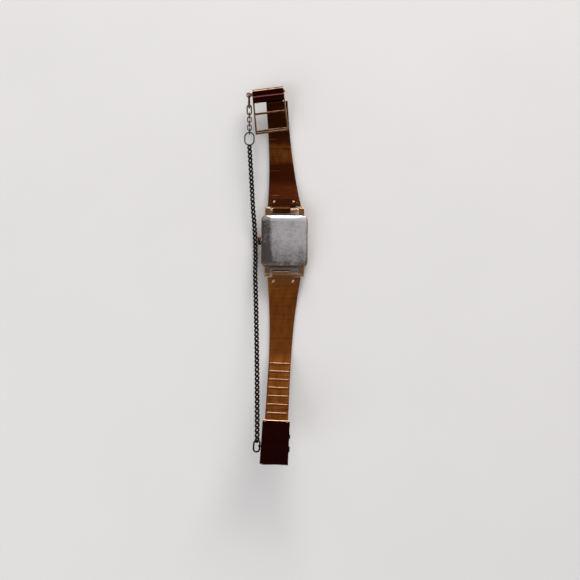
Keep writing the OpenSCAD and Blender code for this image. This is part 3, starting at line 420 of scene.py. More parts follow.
def woven(name, bright, dark, sizes, darkness_along):
    """Woven band: columns of loops that lean one way and the other by turns. darkness_along gives how dark it
    is at a field of distances from its spring bar; on the upper half that is painted shade with a painted
    amber reflection."""
    f = Finish(name)
    u, s = f.along(f.place(kind="UV"))[:2]
    column = u / (sizes.weave_w / MM)
    across = column.part()
    lean = (column.math("FLOOR") * 0.5).part() * 4.0 - 1.0
    loop = (s / (sizes.weave_l / MM) + (across - 0.5) * lean * 0.9).part()
    wire = ((loop * math.pi).sin() ** 0.6) * ((across * math.pi).sin() ** 0.35)
    gap = 1.0 - wire.rise(0.10, 0.60)
    tone = f.noise(f.place((1, 0.35, 1), kind="UV"), 0.45, 4).rise(0.30, 0.72)
    stripes = f.noise(f.place((0.02, 1, 1), kind="UV"), 0.9, 3).rise(0.50, 0.72)
    # Painted highlights along thin creases across the band
    crease_highlights = f.noise(f.place((0.03, 1, 1), kind="UV"), 2.4, 1).rise(0.70, 0.74)
    darkening = (tone * 0.20 + stripes * 0.22 + darkness_along(s) + 0.08).most(0.0).least(1.0)
    # The gaps between the wires are darkened as painted shade
    shaded = f.mix(gap * 0.45, f.mix(darkening, bright, dark), toned(dark, 0.3))
    f.relief(wire * 0.8 + stripes * 0.2, 0.05, 0.8)
    return f.set(
        base_color=f.mix(crease_highlights * 0.35, shaded, toned(bright, 1.6, 0.04)),
        roughness=(darkening * 0.4 + gap * 0.6).between(0.32, 0.52),
    )


def lower_darkness(at):
    """Paler from the clip on, and darker again under the stop ridges."""
    return 0.40 - at.rise(10.0, 26.0) * 0.14 + at.rise(33.0, 37.0) * 0.24


def upper_painted_shade(at):
    """Painted shade, dark at both ends, with a painted amber reflection on the stretch between them."""
    return 1.0 - at.rise(18.5, 23.0) * (1.0 - at.rise(28.0, 32.0)) * 0.42


def tarnished(name, dark, bright, rough=(0.30, 0.55)):
    """Small dark metal that is brighter where it rubs."""
    f = Finish(name)
    rub = f.noise(f.place(), 1.6, 4).rise(0.50, 0.70)
    grain = f.noise(f.place(), 12.0, 3)
    f.relief(grain, 0.006)
    return f.set(base_color=f.mix(rub, dark, bright), roughness=grain.between(*rough))


def turned(name, bright, dark, rough=(0.18, 0.36), rings=5.0):
    """Movement metal with fine machining lines."""
    f = Finish(name)
    lines = f.noise(f.place((rings, 0.05, 1), (0, 0, 0.7)), 2.4, 2)
    patches = f.noise(f.place(), 0.8, 3)
    f.relief(lines, 0.004)
    return f.set(base_color=f.mix(patches.rise(0.4, 0.8), bright, dark), roughness=lines.between(*rough))


def moulded(name, colour, shade, rough=(0.35, 0.55), grain=5.0, metal=0.0, depth=0.006):
    """Plastic, rubber or lacquer with a fine grain."""
    f = Finish(name, metal)
    fine = f.noise(f.place(), grain, 3)
    clouds = f.noise(f.place(), 0.5, 3)
    f.relief(fine, depth)
    return f.set(base_color=f.mix(clouds.rise(0.35, 0.75), colour, shade), roughness=fine.between(*rough))


def crystal_glass(name):
    """Clear glass with smears and hairline scratches."""
    f = Finish(name, 0.0)
    smear = f.noise(f.place(), 0.6, 3).rise(0.4, 0.8)
    hair = f.noise(f.place((0.1, 3, 1), (0, 0, 0.4)), 4.0, 2).rise(0.66, 0.7)
    colour = f.mix(smear * 0.3, (0.95, 0.97, 0.98, 1), (0.88, 0.92, 0.94, 1))
    roughness = smear * 0.05 + hair * 0.1 + 0.02
    return f.set(base_color=colour, roughness=roughness, transmission_weight=1.0, ior=1.5)


def lacquered_dial(name, colour):
    """The dial: a sunburst from its middle."""
    f = Finish(name, 0.0)
    x, y = f.along(f.place())[:2]
    angle = x.math("ARCTAN2", y)
    rim = {0: angle.sin() * 9.0, 1: angle.math("COSINE") * 9.0}
    rays = f.noise(f.node("ShaderNodeCombineXYZ", {}, rim).outputs[0], 5.0, 2)
    f.relief(rays, 0.003)
    lacquer = f.mix(rays.rise(0.3, 0.8), colour, toned(colour, 0.88))
    return f.set(base_color=lacquer, roughness=rays.between(0.25, 0.40), coat_weight=0.4)


def printed_board(name):
    """Green board with tracks and gilt pads."""
    f = Finish(name, 0.0)
    x, y = f.along(f.place())[:2]
    track = abs((x * 2.2 + (y * 1.7).sin() * 0.4).part() - 0.5).rise(0.30, 0.34)
    pad = 1.0 - f.cells(f.place(), 1.4).rise(0.18, 0.22)
    colour = f.mix(pad, f.mix(track, (0.02, 0.16, 0.07, 1), (0.05, 0.26, 0.12, 1)), (0.62, 0.45, 0.22, 1))
    f.relief(track + pad, 0.02)
    return f.set(base_color=colour, metallic=pad * 0.9, roughness=(1.0 - pad * 0.5).between(0.0, 0.45))


def copper_coil(name):
    """Fine copper wire wound round its core."""
    f = Finish(name)
    turn = abs((f.along(f.place())[1] * 9.0).part() - 0.5)
    f.relief(1.0 - turn, 0.03)
    # The colour darkens from the middle of each turn towards the groove between turns: painted shade
    colour = f.mix(turn.rise(0.1, 0.5), (0.62, 0.25, 0.10, 1), (0.22, 0.07, 0.03, 1))
    return f.set(base_color=colour, roughness=turn.between(0.25, 0.5))


def finishes():
    """Every material of the watch, made once."""
    if "watch_steel_back" in bpy.data.materials:
        return bpy.data.materials
    c = bpy.context.scene.watch_colours
    sizes = bpy.context.scene.watch_sizes
    plated("watch_gold_case", c.gold, c.gold_worn, (0.20, 0.42), (0.35, 0.70))
    # Painted highlight: paler plating for the bar barrels, the lid pin, the studs and the slide's knuckles
    # and roll
    plated("watch_gold_highlight", c.bright, c.clip, (0.08, 0.22), (0.50, 0.80))
    plated("watch_gold_clip", c.clip, c.gold_worn, (0.16, 0.34), (0.40, 0.66), (0.15, 2.5, 1), 0.006)
    # Painted highlight: paler plating for the stop ridges and the lower clip's roll
    plated("watch_gold_ridge_highlight", toned(c.bright, 0.6), c.clip, (0.14, 0.28))
    # Painted shade: the crown and the upper clip get the clip plating darkened
    plated("watch_gold_shaded", c.clip_shaded, toned(c.clip_shaded, 0.5), (0.22, 0.42))
    plated("watch_ladder", c.ladder, toned(c.ladder, 0.35), (0.10, 0.24), (0.45, 0.70), depth=0.002)
    # Painted dark reflection: the slide, its lid and the ladder's lobes get a near-black plating
    plated("watch_mirror_dark_reflection", c.mirror, toned(c.mirror, 0.5), (0.06, 0.16), (0.40, 0.70), depth=0.001, coat=0.04)
    rubbed_and_shaded_steel("watch_steel_back", c.steel, c.steel_worn_and_shaded)
    woven("watch_band_lower", c.band, c.band_dark_and_shaded, sizes, lower_darkness)
    woven("watch_band_upper", c.band, c.band_dark_and_shaded, sizes, upper_painted_shade)
    tarnished("watch_chain", c.chain, toned(c.chain, 2.6))
    tarnished("watch_ring", toned(c.chain, 0.8), toned(c.chain, 2.4), (0.22, 0.42))
    turned("watch_steel", (0.60, 0.59, 0.57, 1), (0.42, 0.41, 0.40, 1))
    turned("watch_brass", (0.72, 0.55, 0.27, 1), (0.52, 0.37, 0.16, 1))
    turned("watch_magnet", (0.16, 0.16, 0.17, 1), (0.09, 0.09, 0.10, 1), (0.4, 0.6))
    moulded("watch_rubber", (0.03, 0.03, 0.03, 1), (0.05, 0.05, 0.05, 1), (0.55, 0.75))
    moulded("watch_clear_seal", (0.75, 0.74, 0.70, 1), (0.62, 0.61, 0.57, 1), (0.3, 0.5))
    moulded("watch_holder", (0.80, 0.79, 0.76, 1), (0.70, 0.69, 0.66, 1))
    moulded("watch_black", (0.015, 0.015, 0.016, 1), (0.03, 0.03, 0.03, 1), (0.15, 0.3))
    crystal_glass("watch_crystal")
    lacquered_dial("watch_dial", c.dial)
    printed_board("watch_board")
    copper_coil("watch_coil")
    return bpy.data.materials


NODE_FINISH = {
    "watch_gold_case": "case_middle hour_markers dial_ring",
    "watch_gold_shaded": "crown upper_end_clip",
    "watch_gold_highlight": "upper_bar_barrel lower_bar_barrel lid_pin",
    "watch_gold_clip": "lower_end_clip strap_end_cap ladder_pin",
    "watch_ladder": "ladder_frame chain_head_links",
    "watch_mirror_dark_reflection": "slide_box slide_lid",
    "watch_steel_back": "case_back",
    "watch_band_upper": "upper_strap",
    "watch_band_lower": "lower_strap",
    "watch_chain": "chain_upper_run chain_middle_run chain_lower_run",
    "watch_ring": "chain_oval_ring chain_jump_ring",
    "watch_steel": "train_bridge battery_clamp cannon_pinion setting_wheel setting_lever stem movement_screws"
    " coil_core stator battery quartz_resonator locking_bar upper_bar_spring lower_bar_spring upper_left_tip"
    " upper_right_tip lower_left_tip lower_right_tip pendant_tube",
    "watch_brass": "main_plate center_wheel third_wheel fourth_wheel fifth_wheel minute_wheel hour_wheel",
    "watch_magnet": "rotor",
    "watch_rubber": "back_gasket crown_gasket",
    "watch_clear_seal": "crystal_gasket",
    "watch_holder": "movement_holder",
    "watch_black": "minute_hand hour_hand",
    "watch_crystal": "crystal",
    "watch_dial": "dial",
    "watch_board": "circuit_board",
    "watch_coil": "coil_winding",
}


# Making pieces


def placed(name, data):
    """A new object in the scene."""
    made = bpy.data.objects.new(name, data)
    bpy.context.scene.collection.objects.link(made)
    return made


def copied(node):
    """A bmesh of a CAD node, with its loose triangles merged."""
    bm = bmesh.new()
    bm.from_mesh(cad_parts[node].data)
    bmesh.ops.remove_doubles(bm, verts=bm.verts[:], dist=2e-7)
    return bm


def piece(name, bm, finish, body, *nodes, smooth=35.0, merge=True, even=True):
    """Turns a bmesh in metres into a finished piece that rides on a body and stands for CAD nodes. Where even
    is set, large flat faces keep their own shading beside small ones."""
    if merge:
        bmesh.ops.remove_doubles(bm, verts=bm.verts[:], dist=1e-7)
    bmesh.ops.recalc_face_normals(bm, faces=bm.faces[:])
    mesh = bpy.data.meshes.new(name)
    bm.to_mesh(mesh)
    bm.free()
    mesh.shade_smooth()
    mesh.set_sharp_from_angle(angle=math.radians(smooth))
    made = placed(name, mesh)
    mesh.materials.append(finishes()[finish])
    if even:
        made.modifiers.new("even shading", "WEIGHTED_NORMAL").keep_sharp = True
    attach(made, body)
    if nodes:
        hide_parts(*nodes)
    return made


def fresh(bm, old):
    """The vertices that aren't among the old ones."""
    return [v for v in bm.verts if v not in old]


def spun(bm, geom, axis, steps):
    """Turns an outline once round an axis through the middle."""
    bmesh.ops.spin(bm, geom=geom, cent=(0, 0, 0), axis=axis, angle=math.tau, steps=steps, use_merge=True)


def lathe(bm, outline, place, steps=48):
    """A closed outline of (x, radius) pairs in millimetres turned round X, then placed."""
    old = set(bm.verts)
    verts = [bm.verts.new((x * MM, 0, r * MM)) for x, r in outline]
    edges = [bm.edges.new((verts[i], verts[(i + 1) % len(verts)])) for i in range(len(verts))]
    spun(bm, verts + edges, (1, 0, 0), steps)
    bmesh.ops.remove_doubles(bm, verts=fresh(bm, old), dist=1e-7)
    bmesh.ops.transform(bm, matrix=place, verts=fresh(bm, old))


def pipe(bm, outer, inner, x0, x1, place, soft):
    """A tube along X with softened rims."""
    near = soft * 0.3
    outline = [(x0, inner), (x0, outer - soft), (x0 + near, outer - near), (x0 + soft, outer)]
    outline += [(x1 - soft, outer), (x1 - near, outer - near), (x1, outer - soft), (x1, inner)]
    lathe(bm, outline, place)


def rod(bm, radius, x0, x1, place, round_off=0.08, steps=32):
    """A solid round bar along X with softened ends."""
    soft = min(round_off, radius * 0.6)
    near = soft * 0.3
    old = set(bm.verts)
    verts = bmesh.ops.create_circle(bm, cap_ends=True, segments=steps, radius=(radius - soft) * MM)["verts"]
    bmesh.ops.rotate(bm, verts=verts, cent=(0, 0, 0), matrix=Matrix.Rotation(math.pi / 2, 3, "Y"))
    bmesh.ops.translate(bm, verts=verts, vec=(x0 * MM, 0, 0))
    end = [f for f in verts[0].link_faces if len(f.verts) == steps]
    outline = [(x0 + near, radius - near), (x0 + soft, radius), (x1 - soft, radius)]
    outline += [(x1 - near, radius - near), (x1, radius - soft)]
    for x, r in outline:
        grown = bmesh.ops.extrude_face_region(bm, geom=end)["geom"]
        end = [g for g in grown if isinstance(g, bmesh.types.BMFace)]
        for v in end[0].verts:
            v.co = Vector((0, v.co.y, v.co.z)).normalized() * r * MM
            v.co.x = x * MM
    bmesh.ops.transform(bm, matrix=place, verts=fresh(bm, old))


def rounded(bm, edges, width, segments):
    """Rounds edges by a width in the bmesh's own unit."""
    bmesh.ops.bevel(
        bm,
        geom=edges,
        offset=width,
        segments=segments,
        profile=0.5,
        affect="EDGES",
        material=-1,
        clamp_overlap=True,
    )


def slab(bm, low, high, place, bevel):
    """A block with softened edges, from its lowest to its highest corner in millimetres."""
    old = set(bm.verts)
    verts = bmesh.ops.create_cube(bm, size=1.0)["verts"]
    low, high = Vector(low) * MM, Vector(high) * MM
    bmesh.ops.scale(bm, verts=verts, vec=high - low)
    bmesh.ops.translate(bm, verts=verts, vec=(low + high) / 2)
    if bevel:
        rounded(bm, list({e for v in verts for e in v.link_edges}), bevel * MM, 3)
    bmesh.ops.transform(bm, matrix=place, verts=fresh(bm, old))


def sheet(bm, outline, x0, x1, place, bevel=0.0):
    """A closed outline of (y, z) pairs in millimetres drawn out along X."""
    old = set(bm.verts)
    verts = [bm.verts.new((x0 * MM, y * MM, z * MM)) for y, z in outline]
    made = bmesh.ops.extrude_face_region(bm, geom=[bm.faces.new(verts)])["geom"]
    far = [g for g in made if isinstance(g, bmesh.types.BMFace)][0]
    bmesh.ops.translate(bm, verts=far.verts[:], vec=((x1 - x0) * MM, 0, 0))
    if bevel:
        near = [f for f in verts[0].link_faces if len(f.verts) == len(outline)][0]
        rounded(bm, near.edges[:] + far.edges[:], bevel * MM, 2)
    bmesh.ops.transform(bm, matrix=place, verts=fresh(bm, old))


def thickened(name, node, finish, body, extra):
    """A copy of a CAD node with its surface moved out."""
    bm = copied(node)
    bm.normal_update()
    for v, normal in [(v, v.normal.copy()) for v in bm.verts]:
        v.co += normal * extra * MM
    return piece(name, bm, finish, body, node, smooth=60.0)


def softened(name, node, finish, body, width):
    """A copy of a CAD node with its sharp edges rounded by a width in millimetres."""
    bm = copied(node)
    bmesh.ops.dissolve_limit(bm, angle_limit=0.005, verts=bm.verts[:], edges=bm.edges[:])
    corner = math.radians(40)
    sharp = [e for e in bm.edges if len(e.link_faces) == 2 and e.calc_face_angle(0) > corner]
    rounded(bm, sharp, width * MM, 2)
    return piece(name, bm, finish, body, node, smooth=32.0)


# The band's line


def reach(angle):
    """Distance from the bar at which the band lies flat, if it leaves the bar downwards at this angle."""
    a = math.radians(angle)
    return (BAR_Z - BAND_T / 2 - BEND_IN * (1 - math.cos(a))) / math.tan(a) + BEND_IN * math.sin(a)


def slope_in():
    """The angle in degrees at which the band leaves the bar, found by a few rounds from a near guess."""
    angle = 11.5
    for _ in range(6):
        angle *= reach(angle) / FLAT_START
    return angle


SLOPE_IN = math.radians(slope_in())
FOOT = reach(math.degrees(SLOPE_IN))


def height(s, incline):
    """Height of the band's middle above the table at a distance s from the spring bar."""
    a = math.radians(incline)
    half, lift = BAND_T / 2, BEND_OUT * math.sin(a)
    if s < FOOT - BEND_IN * math.sin(SLOPE_IN):
        return BAR_Z - s * math.tan(SLOPE_IN)
    if s < FOOT:
        return half + BEND_IN - math.sqrt(BEND_IN**2 - (FOOT - s) ** 2)
    if s < FLAT_END:
        return half
    if s < FLAT_END + lift:
        return half + BEND_OUT - math.sqrt(BEND_OUT**2 - (s - FLAT_END) ** 2)
    return half + BEND_OUT * (1 - math.cos(a)) + (s - FLAT_END - lift) * math.tan(a)


def width(s):
    """The band's width at a distance s from the spring bar."""
    left = max(0, 1 - (s - TAPER_FROM) / (TAPER_TO - TAPER_FROM))
    return END_W + (ROOT_W - END_W) * left**TAPER_POWER


def at_bar(half):
    """Matrix in metres to a half's spring bar, with Y away from the case."""
    flip = Matrix.Scale(half["side"], 4, (0, 1, 0))
    return Matrix.Translation((0, half["side"] * BAR_Y * MM, BAR_Z * MM)) @ flip


def free_end(half, s):
    """Matrix in metres to a place on a half's free end: X across, Y away from the case, Z off its inside."""
    lean, a = math.radians(half["lean"]), math.radians(half["incline"])
    turn = math.atan(math.tan(lean) * math.cos(a))
    local = (
        Matrix.Translation((-s * math.tan(lean) * MM, s * MM, (height(s, half["incline"]) - BAR_Z) * MM))
        @ Matrix.Rotation(a, 4, "X")
        @ Matrix.Rotation(turn, 4, "Z")
    )
    return at_bar(half) @ local


def bar_place(half):
    """Matrix in metres to a half's spring bar, turned to the band's first slope."""
    return at_bar(half) @ Matrix.Rotation(-SLOPE_IN, 4, "X")


LADDER_PLACE = free_end(UPPER, LADDER_S) @ Matrix.Rotation(math.radians(LADDER_SKEW), 4, "Z")
LADDER_FLAT = (
    LADDER_PLACE
    @ Matrix.Translation((-LADDER_OFFSET * MM, 0, 0))
    @ Matrix.Rotation(math.radians(180 - LADDER_RISE), 4, "X")
)


def band_strip(bm, half, last, cuts, segments):
    """One half of the woven band, as a sheet with rounded sides that follows the band's line up to a distance
    last, with its UV map in millimetres across and along. It starts as a flat strip in millimetres, on which
    cuts gives the end's line and the two lines of a notch."""
    bmesh.ops.create_grid(bm, x_segments=12, y_segments=segments, size=0.5)
    for v in bm.verts:
        v.co.x *= STRIP_W
        v.co.y = TAPER_FROM + (v.co.y + 0.5) * (last - TAPER_FROM)
    for point, normal in cuts:
        geom = bm.verts[:] + bm.edges[:] + bm.faces[:]
        bmesh.ops.bisect_plane(bm, geom=geom, plane_co=point, plane_no=normal)
    if cuts:
        gone = []
        for f in bm.faces:
            at = f.calc_center_median()
            end, side, notch = [(at - point).dot(normal) > 0 for point, normal in cuts]
            if end or (side and notch):
                gone.append(f)
        bmesh.ops.delete(bm, geom=gone, context="FACES")
    made = bmesh.ops.extrude_face_region(bm, geom=bm.faces[:])
    top = [g for g in made["geom"] if isinstance(g, bmesh.types.BMVert)]
    bmesh.ops.translate(bm, verts=bm.verts[:], vec=(0, 0, -BAND_T / 2))
    bmesh.ops.translate(bm, verts=top, vec=(0, 0, BAND_T))
    rims = [e for e in bm.edges if len(e.link_faces) == 2 and e.calc_face_angle(0) > 1.0]
    rounded(bm, rims, BAND_ROUND, 3)
    uv = bm.loops.layers.uv.new("weave")
    for f in bm.faces:
        for loop in f.loops:
            x, s, z = loop.vert.co
            loop[uv].uv = (x * width(s) / STRIP_W, s)
    lean = math.tan(math.radians(half["lean"]))
    for v in bm.verts:
        x, s, z = v.co
        v.co = (
            (-s * lean + x * width(s) / STRIP_W) * MM,
            half["side"] * (BAR_Y + s) * MM,
            (height(s, half["incline"]) + z) * MM,
        )


def ladder_cut(x, y, dx, dy):
    """A line in the ladder's place as a cut in the band's strip, pointing away from the band."""

    def flat(px, py):
        at = LADDER_PLACE @ Vector((px * MM, py * MM, 0)) / MM
        s = at.y - BAR_Y
        return Vector(((at.x + s * math.tan(math.radians(UPPER["lean"]))) * STRIP_W / END_W, s, 0))

    start, end, off = flat(x, y), flat(x + dx, y + dy), flat(x + dy, y - dx)
    along = (end - start).normalized()
    normal = Vector((-along.y, along.x, 0))
    if (off - start).dot(normal) < 0:
        normal.negate()
    return start, normal


def arc(r, start, stop, steps, y=0.0, z=0.0):
    """Points (y, z) on a circle from one angle to another in degrees."""
    angles = [math.radians(start + (stop - start) * i / steps) for i in range(steps + 1)]
    return [(y + r * math.cos(a), z + r * math.sin(a)) for a in angles]


def curved(r, start, stop, steps, y=0.0, z=0.0):
    """The outline of a sheet as thick as the ladder's hood, bent to a circle of that outer radius."""
    return arc(r, start, stop, steps, y, z) + arc(r - HOOD_T, stop, start, steps, y, z)


# Operators


class WATCH_OT_finish(bpy.types.Operator):
    """Gives every carried-over part its finish"""

    bl_idname = "watch.finish"
    bl_label = "Finish the watch's parts"

    def execute(self, context):
        made = finishes()
        left = set(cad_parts)
        for finish, nodes in NODE_FINISH.items():
            for node in nodes.split():
                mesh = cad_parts[node].data
                mesh.materials.clear()
                mesh.materials.append(made[finish])
                left.discard(node)
        if left:
            raise RuntimeError(f"no finish for {sorted(left)}")
        return {"FINISHED"}


class WATCH_OT_band(bpy.types.Operator):
    """Makes the two woven halves of the band, with the stop ridges of the lower one"""

    bl_idname = "watch.band"
    bl_label = "Woven band"

    def execute(self, context):
        end, right = -CAP_END, LADDER_W / 2 - RAIL_W - LADDER_OFFSET - CAP_GAP
        cuts = [ladder_cut(0, end, -1, 0), ladder_cut(right, 0, 0, 1), ladder_cut(0, end - CAP_L, -1, 0)]
        bm = bmesh.new()
        band_strip(bm, UPPER, LADDER_S, cuts, 96)
        piece("band_upper", bm, "watch_band_upper", "upper_band", "upper_strap", merge=False, even=False)

        bm = bmesh.new()
        band_strip(bm, LOWER, SLIDE_S + BAND_TAIL, [], 140)
        piece("band_lower", bm, "watch_band_lower", "lower_band", "lower_strap", merge=False, even=False)

        bm = bmesh.new()
        for i in range(context.scene.watch_sizes.ridges):
            s = RIDGE_S + i * RIDGE_PITCH * math.cos(math.radians(LOWER["incline"]))
            place = free_end(LOWER, s) @ Matrix.Translation((0, 0, (BAND_T / 2 + RIDGE_H - RIDGE_R) * MM))
            rod(bm, RIDGE_R, RIDGE_R - END_W / 2, END_W / 2 - RIDGE_R, place, 0.25, 20)
        # The ridges are paler than the band as painted highlights
        piece("stop_ridges", bm, "watch_gold_ridge_highlight", "lower_band")
        return {"FINISHED"}


def curb_link(pitch, across, wire):
    """One twisted link along Y, as a mesh."""
    half_w = across / 2 - wire
    half_l = pitch / 2 + wire
    bm = bmesh.new()
    verts = bmesh.ops.create_circle(bm, segments=7, radius=wire)["verts"]
    bmesh.ops.rotate(bm, verts=verts, cent=(0, 0, 0), matrix=Matrix.Rotation(math.pi / 2, 3, "X"))
    bmesh.ops.translate(bm, verts=verts, vec=(half_w, 0, 0))
    spun(bm, verts + bm.edges[:], (0, 0, 1), 16)
    bmesh.ops.remove_doubles(bm, verts=bm.verts[:], dist=1e-7)
    for v in bm.verts:
        v.co.y *= half_l / (half_w + wire)
        twist = Matrix.Rotation(-v.co.y / half_l * math.radians(LINK_TWIST), 3, "Y")
        v.co = twist @ v.co
        v.co.z *= LINK_FLATNESS
    slant = Matrix.Rotation(math.radians(-LINK_SLANT), 3, "Z")
    bmesh.ops.rotate(bm, verts=bm.verts[:], cent=(0, 0, 0), matrix=slant)
    link = bpy.data.meshes.new("link")
    bm.to_mesh(link)
    bm.free()
    return link


def curb_run(name, start, end, bow, body, node):
    """A run of twisted curb links that lie flat along a line bowed by that much at its middle."""
    sizes = bpy.context.scene.watch_sizes
    start, end, bow = Vector(start) * MM, Vector(end) * MM, Vector(bow) * MM
    run = end - start
    count = round((run.length + 8 / 3 * bow.length_squared / run.length) / sizes.link_pitch)
    link = curb_link(sizes.link_pitch, sizes.link_w, sizes.link_wire)
    bm = bmesh.new()
    for i in range(count):
        t = (i + 0.5) / count
        ahead = (run + bow * 4 * (1 - 2 * t)).normalized()
        side = ahead.cross(Vector((0, 0, 1))).normalized()
        place = Matrix((side, ahead, side.cross(ahead))).transposed().to_4x4()
        place.translation = start + run * t + bow * 4 * t * (1 - t)
        old = set(bm.verts)
        bm.from_mesh(link)
        bmesh.ops.transform(bm, matrix=place, verts=fresh(bm, old))
    bpy.data.meshes.remove(link)
    return piece(name, bm, "watch_chain", body, node, smooth=80.0, merge=False, even=False)


class WATCH_OT_chain(bpy.types.Operator):
    """Makes the safety chain's three runs of twisted links and its jump ring"""

    bl_idname = "watch.chain"
    bl_label = "Safety chain"

    def execute(self, context):
        low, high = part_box("chain_oval_ring")
        ring_foot = ((low.x + high.x) / 2 / MM, low.y / MM + 0.27, (low.z + high.z) / 2 / MM)
        run_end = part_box("chain_lower_run")[0].y + 0.4 * MM
        tip = [v.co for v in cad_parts["chain_lower_run"].data.vertices if v.co.y < run_end]
        jump = sum(tip, Vector()) / len(tip) / MM
        curb_run("chain_run_upper", UPPER_JOINT, ring_foot, UPPER_BOW, "upper_band", "chain_upper_run")
        curb_run("chain_run_middle", UPPER_JOINT, LOWER_JOINT, MIDDLE_BOW, "watch_head", "chain_middle_run")
        lower = curb_run("chain_run_lower", LOWER_JOINT, jump, LOWER_BOW, "lower_band", "chain_lower_run")
        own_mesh(lower)
        thickened("jump_ring", "chain_jump_ring", "watch_ring", "slide_clasp", RING_EXTRA)
        return {"FINISHED"}


# The upper clip gets the darkened plating as painted shade
CLIP_FINISH = {"upper_end_clip": "watch_gold_shaded", "lower_end_clip": "watch_gold_clip"}
STUD_OUTLINE = ((-0.1, 0), (-0.1, 0.55), (0.02, 0.55), (0.14, 0.42), (0.2, 0.2), (0.21, 0))
UPRIGHT = Matrix.Rotation(-math.pi / 2, 4, "Y")


class WATCH_OT_clips(bpy.types.Operator):
    """Makes the two end clips that roll round the spring bars"""

    bl_idname = "watch.clips"
    bl_label = "End clips"

    def execute(self, context):
        for half in (UPPER, LOWER):
            name = half["name"]
            body, node = f"{name}_band", f"{name}_end_clip"
            place = bar_place(half)
            bm = bmesh.new()
            pipe(bm, CLIP_ROLL_R, CLIP_BORE_R, CLIP_ROLL_LEFT, CLIP_ROLL_RIGHT, place, 0.12)
            # The lower clip's roll gets the paler ridge plating as a painted highlight
            if half is LOWER:
                piece("clip_roll", bm, "watch_gold_ridge_highlight", body)
                bm = bmesh.new()
            # The bridge from the roll to the leaf on the wrist side
            end = CLIP_FOOT + 0.2
            bridge = [(0.55, CLIP_INSIDE), (0.9, CLIP_INSIDE), (end, CLIP_INSIDE)]
            bridge += [(end, CLIP_TOP), (0.9, CLIP_TOP), (0.62, 1.0)]
            sheet(bm, bridge, CLIP_ROLL_LEFT + 0.05, CLIP_ROLL_RIGHT - 0.05, place)
            for y0, y1, z0, z1, soft in (
                (CLIP_FOOT, CLIP_FOOT + CLIP_TOP_L, CLIP_INSIDE, CLIP_TOP, 0.13),
                (CLIP_FOOT, CLIP_FOOT + CLIP_UNDER_L, -CLIP_TOP, -CLIP_INSIDE, 0.13),
                (CLIP_FOOT - 0.2, CLIP_FOOT - 0.03, -CLIP_TOP, CLIP_TOP, 0.06),
            ):
                slab(bm, (CLIP_LEFT, y0, z0), (CLIP_RIGHT, y1, z1), place, soft)
            piece(f"clip_{name}", bm, CLIP_FINISH[node], body, node)

            # The studs get the paler plating as painted highlights
            bm = bmesh.new()
            stud = [(CLIP_TOP + rise, r) for rise, r in STUD_OUTLINE]
            for x in STUD_X:
                lathe(bm, stud, place @ Matrix.Translation((x * MM, STUD_Y * MM, 0)) @ UPRIGHT, 24)
            piece(f"studs_{name}", bm, "watch_gold_highlight", body)
        return {"FINISHED"}


class WATCH_OT_ladder(bpy.types.Operator):
    """Makes the ladder with its hood, its second lobe, its rung and its grooved end bar"""

    bl_idname = "watch.ladder"
    bl_label = "Ladder"

    def execute(self, context):
        bm = bmesh.new()
        for x in (-RAIL_MID, RAIL_MID):
            outline = arc(CAP_R, 30, 330, 28) + arc(RAIL_HALF_H, -90, 90, 10, LADDER_L - RAIL_HALF_H)
            sheet(bm, outline, x - RAIL_W / 2, x + RAIL_W / 2, LADDER_FLAT, 0.09)
        for r, y in ((RUNG_R, LADDER_L / 2), (END_BAR_R, END_BAR_Y - END_BAR_GAP), (END_BAR_R, END_BAR_Y)):
            rod(bm, r, -RAIL_MID, RAIL_MID, LADDER_FLAT @ Matrix.Translation((0, y * MM, 0)))
        # The web that makes a groove of the two end bars
        low, high = (-RAIL_MID, END_BAR_Y - END_BAR_GAP, -0.2), (RAIL_MID, END_BAR_Y, 0.2)
        slab(bm, low, high, LADDER_FLAT, 0)
        sheet(bm, curved(HOOD_R, -86, -140, 18), -RAIL_MID, RAIL_MID, LADDER_FLAT, 0.12)
        piece("ladder_rails", bm, "watch_ladder", "ladder", "ladder_frame")

        bm = bmesh.new()
        for outline in (curved(HOOD_R, -19, -86, 26), curved(LOBE_R, 0, -180, 40, LOBE_Y, LOBE_Z)):
            sheet(bm, outline, -RAIL_MID, RAIL_MID, LADDER_FLAT, 0.06)
        piece("ladder_lobes", bm, "watch_mirror_dark_reflection", "ladder")
        return {"FINISHED"}


def corners(across, along, z, corner, steps):
    """Points in metres on a round-cornered outline, of a width and a length in millimetres."""
    r = max(0.15, min(corner, across / 2, along / 2))
    points = []
    for quarter in range(4):
        x = (across / 2 - r) * (1 if quarter in (0, 3) else -1)
        y = (along / 2 - r) * (1 if quarter in (0, 1) else -1)
        for i in range(steps + 1):
            a = math.pi / 2 * (quarter + i / steps)
            points.append(Vector((x + r * math.cos(a), y + r * math.sin(a), z)) * MM)
    return points


def ring_stack(bm, rings, corner, steps=10):
    """A shell of round-cornered outlines, each (width, length, z) in millimetres, closed at both ends."""
    per = 4 * (steps + 1)
    bmesh.ops.create_circle(bm, cap_ends=True, segments=per, radius=1.0)
    face = bm.faces[:]
    order = face[0].verts[:]
    for v, point in zip(order, corners(*rings[0], corner, steps)):
        v.co = point
    for ring in rings[1:]:
        made = bmesh.ops.extrude_face_region(bm, geom=face)
        face = [g for g in made["geom"] if isinstance(g, bmesh.types.BMFace)]
        new = face[0].verts[:]
        # The new face may start at another corner or run the other way round
        start = min(range(per), key=lambda k: (new[0].co - order[k].co).length)
        ahead, back = [(new[1].co - order[(start + k) % per].co).length for k in (1, -1)]
        step = 1 if ahead < back else -1
        order = [None] * per
        points = corners(*ring, corner, steps)
        for k, v in enumerate(new):
            at = (start + step * k) % per
            v.co = points[at]
            order[at] = v


